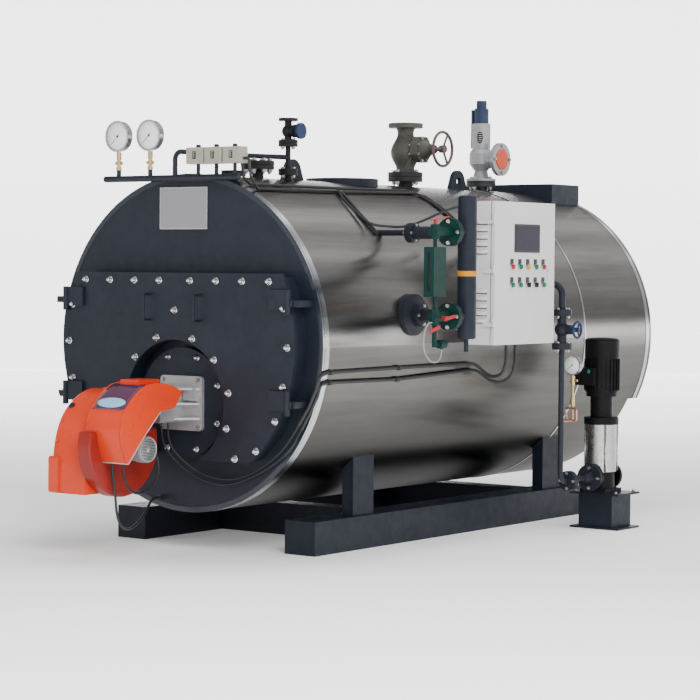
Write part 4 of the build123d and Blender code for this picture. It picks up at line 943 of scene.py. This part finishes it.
def pump_details():
    """Fins, cowl, lamp and tie rods of the feed pump, and its stand's bolts."""
    fins = []
    foot, height = world(*PUMP, 722), 0.164
    for k in range(24):
        a = 2 * math.pi * k / 24
        out = Vector((math.cos(a), math.sin(a), 0))
        flat = Vector((-math.sin(a), math.cos(a), 0))
        ring = [foot + out * r + flat * w * sign + Vector((0, 0, z))
                for r, w in ((0.084, 0.0014), (0.0925, 0.0009))
                for z in (0, height) for sign in (-1, 1)]
        fins.append((ring, [(0, 1, 3, 2), (4, 6, 7, 5), (0, 4, 5, 1), (2, 3, 7, 6),
                            (0, 2, 6, 4), (1, 5, 7, 3)]))
    link_mesh("pump_motor_fins", *gather(fins), PUMPBLACK, smooth=False)
    cap = lathe([(0.088, 0), (0.088, 0.004), (0.07, 0.010), (0.03, 0.013), (TIP, 0.013)], UP,
                world(*PUMP, 982), 40)
    link_mesh("pump_motor_cowl", *cap, PUMPBLACK)
    link_mesh("pump_box_lamp", *disc(1030, 1985, 822, FORWARD, 10, 2.5, 24), LAMPGREEN)
    circle = 86
    rods = [lathe([(0.005, 0), (0.005, 0.242)], UP,
                  world(PUMP[0] + circle * math.cos(a), PUMP[1] + circle * math.sin(a), 300), 12)
            for a in [math.pi / 4 + math.pi * k / 2 for k in range(4)]]
    link_mesh("pump_tie_rods", *gather(rods), STEEL)
    feet = [bolt(world(x, depth, 188), UP, 0.016) for x in (920, 1156) for depth in (2060, 2248)]
    link_mesh("pump_stand_bolts", *gather(feet), ZINC, smooth=False)


def dials():
    """Place, face radius and needle angle of each gauge."""
    dial("left_gauge", -404, -56, 1972, 66.5, -135)
    dial("right_gauge", -204, -56, 1972, 66.5, -132)
    dial("feed_gauge_dial", 1035, 1810, 860, 44.5, -128)


def controller_details():
    """Each controller has a scale window in a frame, two screws and a knob."""
    front = -77
    for k, x in enumerate((95, 205, 316), 1):
        link_mesh(f"controller_frame_{k}", *block((x - 15, front - 0.9, 1848),
                                                  (x + 15, front, 1892), 0.3),
                  CONTROL, smooth=False)
        link_mesh(f"controller_window_{k}", *block((x - 11, front - 1.4, 1852),
                                                   (x + 11, front - 0.6, 1888), 0.3),
                  INK, smooth=False)
        marks = [block((x - 7, front - 1.8, 1857 + 5 * i),
                       (x + (5 if i % 2 else 0), front - 1.3, 1858 + 5 * i), 0)
                 for i in range(6)]
        link_mesh(f"controller_scale_{k}", *gather(marks), FACE, smooth=False)
        screws = [lathe([(0.004, 0), (0.004, 0.0015), (TIP, 0.002)], FORWARD,
                        world(x + side, front, 1838), 14) for side in (-44, 44)]
        link_mesh(f"controller_screws_{k}", *gather(screws), STEEL)
        knob = lathe([(0.012, 0), (0.012, 0.01), (0.009, 0.014), (TIP, 0.014)], UP,
                     world(x, -45, 1906.5), 24)
        link_mesh(f"controller_knob_{k}", *knob, BLACK)


# Cords

def cord(name, node, points, radius, sheath=RUBBER):
    """A sheath along a route in millimetres, in the place of the node."""
    route = [world(*point) for point in points]
    curve = bpy.data.curves.new(name, "CURVE")
    curve.dimensions = "3D"
    spline = curve.splines.new("NURBS")
    spline.points.add(len(route) - 1)
    for point, place in zip(spline.points, route):
        point.co = (*place, 1)
    spline.order_u = 3
    spline.use_endpoint_u = True
    curve.resolution_u = 10
    curve.bevel_depth = radius / 1000
    curve.bevel_resolution = 5
    curve.use_fill_caps = True
    curve.materials.append(sheath)
    obj = bpy.data.objects.new(name, curve)
    bpy.context.collection.objects.link(obj)
    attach(obj, root)
    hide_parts(node)


cord("front_cable_upper_sheath", "front_cable_upper", [
    (-20, -120, 618), (-20, -120, 570), (-14, -112, 512), (10, -80, 455), (60, -45, 405),
    (125, -28, 372), (200, -25, 357), (285, -25, 356), (365, -25, 374), (440, -25, 404),
    (510, -25, 445), (572, -25, 492), (625, -28, 545), (665.6, -33, 594.4), (691, -33, 632),
], 4)
cord("front_cable_lower_sheath", "front_cable_lower", [
    (-60, -120, 618), (-60, -120, 565), (-55, -108, 510), (-42, -75, 458), (-15, -42, 412),
    (35, -27, 378), (99, -25, 350), (165, -25, 334), (235, -25, 329), (305, -25, 338),
    (370, -25, 358), (432, -25, 384), (492, -25, 414), (550, -25, 448), (602, -22, 488),
    (643, -17, 532), (667.5, -14, 570.8), (691, -14, 609),
], 4)
cord("burner_loop_sheath", "burner_loop", [
    (20, -315, 490), (20, -272, 490), (20, -240, 460), (20, -228, 415), (20, -238, 368),
    (20, -270, 330), (20, -315, 307), (20, -365, 298), (20, -412, 308), (20, -450, 338),
    (20, -470, 382), (20, -475, 430), (20, -475, 480),
], 6)
cord("burner_cable_sheath", "burner_cable", [
    (-22, -505, 480), (-22, -505, 415), (-22, -492, 350), (-22, -482, 285), (-24, -474, 222),
    (-30, -448, 168), (-42, -402, 136), (-58, -345, 126), (-76, -285, 138), (-95, -225, 160),
    (-115, -165, 188), (-136, -118, 220), (-150, -75, 245), (-150, -28, 245),
], 6)
cord("drooping_cable_sheath", "drooping_cable", [
    (366, 706, 1712), (397, 679, 1695.5), (430, 656, 1676), (466, 642, 1653.4),
    (504, 636, 1626.5), (542, 634, 1597.3), (580, 644, 1568.5), (614, 668, 1553.4),
    (650, 700, 1551), (686, 735, 1546), (724, 772, 1552), (762, 808, 1569), (799, 845, 1592),
    (833, 884, 1616), (866, 922, 1636), (893, 953, 1648), (915, 984, 1653), (915, 1015, 1653),
], 6)
cord("drain_hose_tube", "drain_hose", [
    (1105, 426, 1100), (1105, 400, 1100), (1105, 377, 1076), (1105, 362, 1043),
    (1105, 358, 1005), (1105, 368, 968), (1105, 392, 938), (1105, 426, 919), (1105, 464, 915),
    (1105, 494, 928), (1105, 507, 953), (1105, 507, 976),
], 4, HOSE)
cord("cabinet_loop_upper_sheath", "cabinet_loop_upper", [
    (810.5, 1198, 879), (810.8, 1229.9, 879.1), (822, 1258, 864), (843, 1278, 836),
    (876, 1288, 815), (913, 1293, 816), (943, 1295, 836), (956, 1295, 868), (962, 1296, 908),
    (960, 1296, 946), (960, 1296, 980),
], 8)
cord("cabinet_loop_lower_sheath", "cabinet_loop_lower", [
    (805.2, 1200, 845), (805.9, 1242.5, 846.6), (813, 1278, 836), (830, 1306, 812),
    (857, 1328, 790), (892, 1346, 783), (925, 1360, 796), (948, 1370, 824), (958, 1377, 860),
    (962, 1380, 902), (960, 1380, 942), (960, 1380, 980),
], 8)

door_nuts()
steam_bolts()
column_band()
safety_window()
nameplate()
control_screen()
buttons()
cabinet_lock()
louvres()
hood_details()
motor_grille()
burner_fittings()
pump_details()
dials()
controller_details()
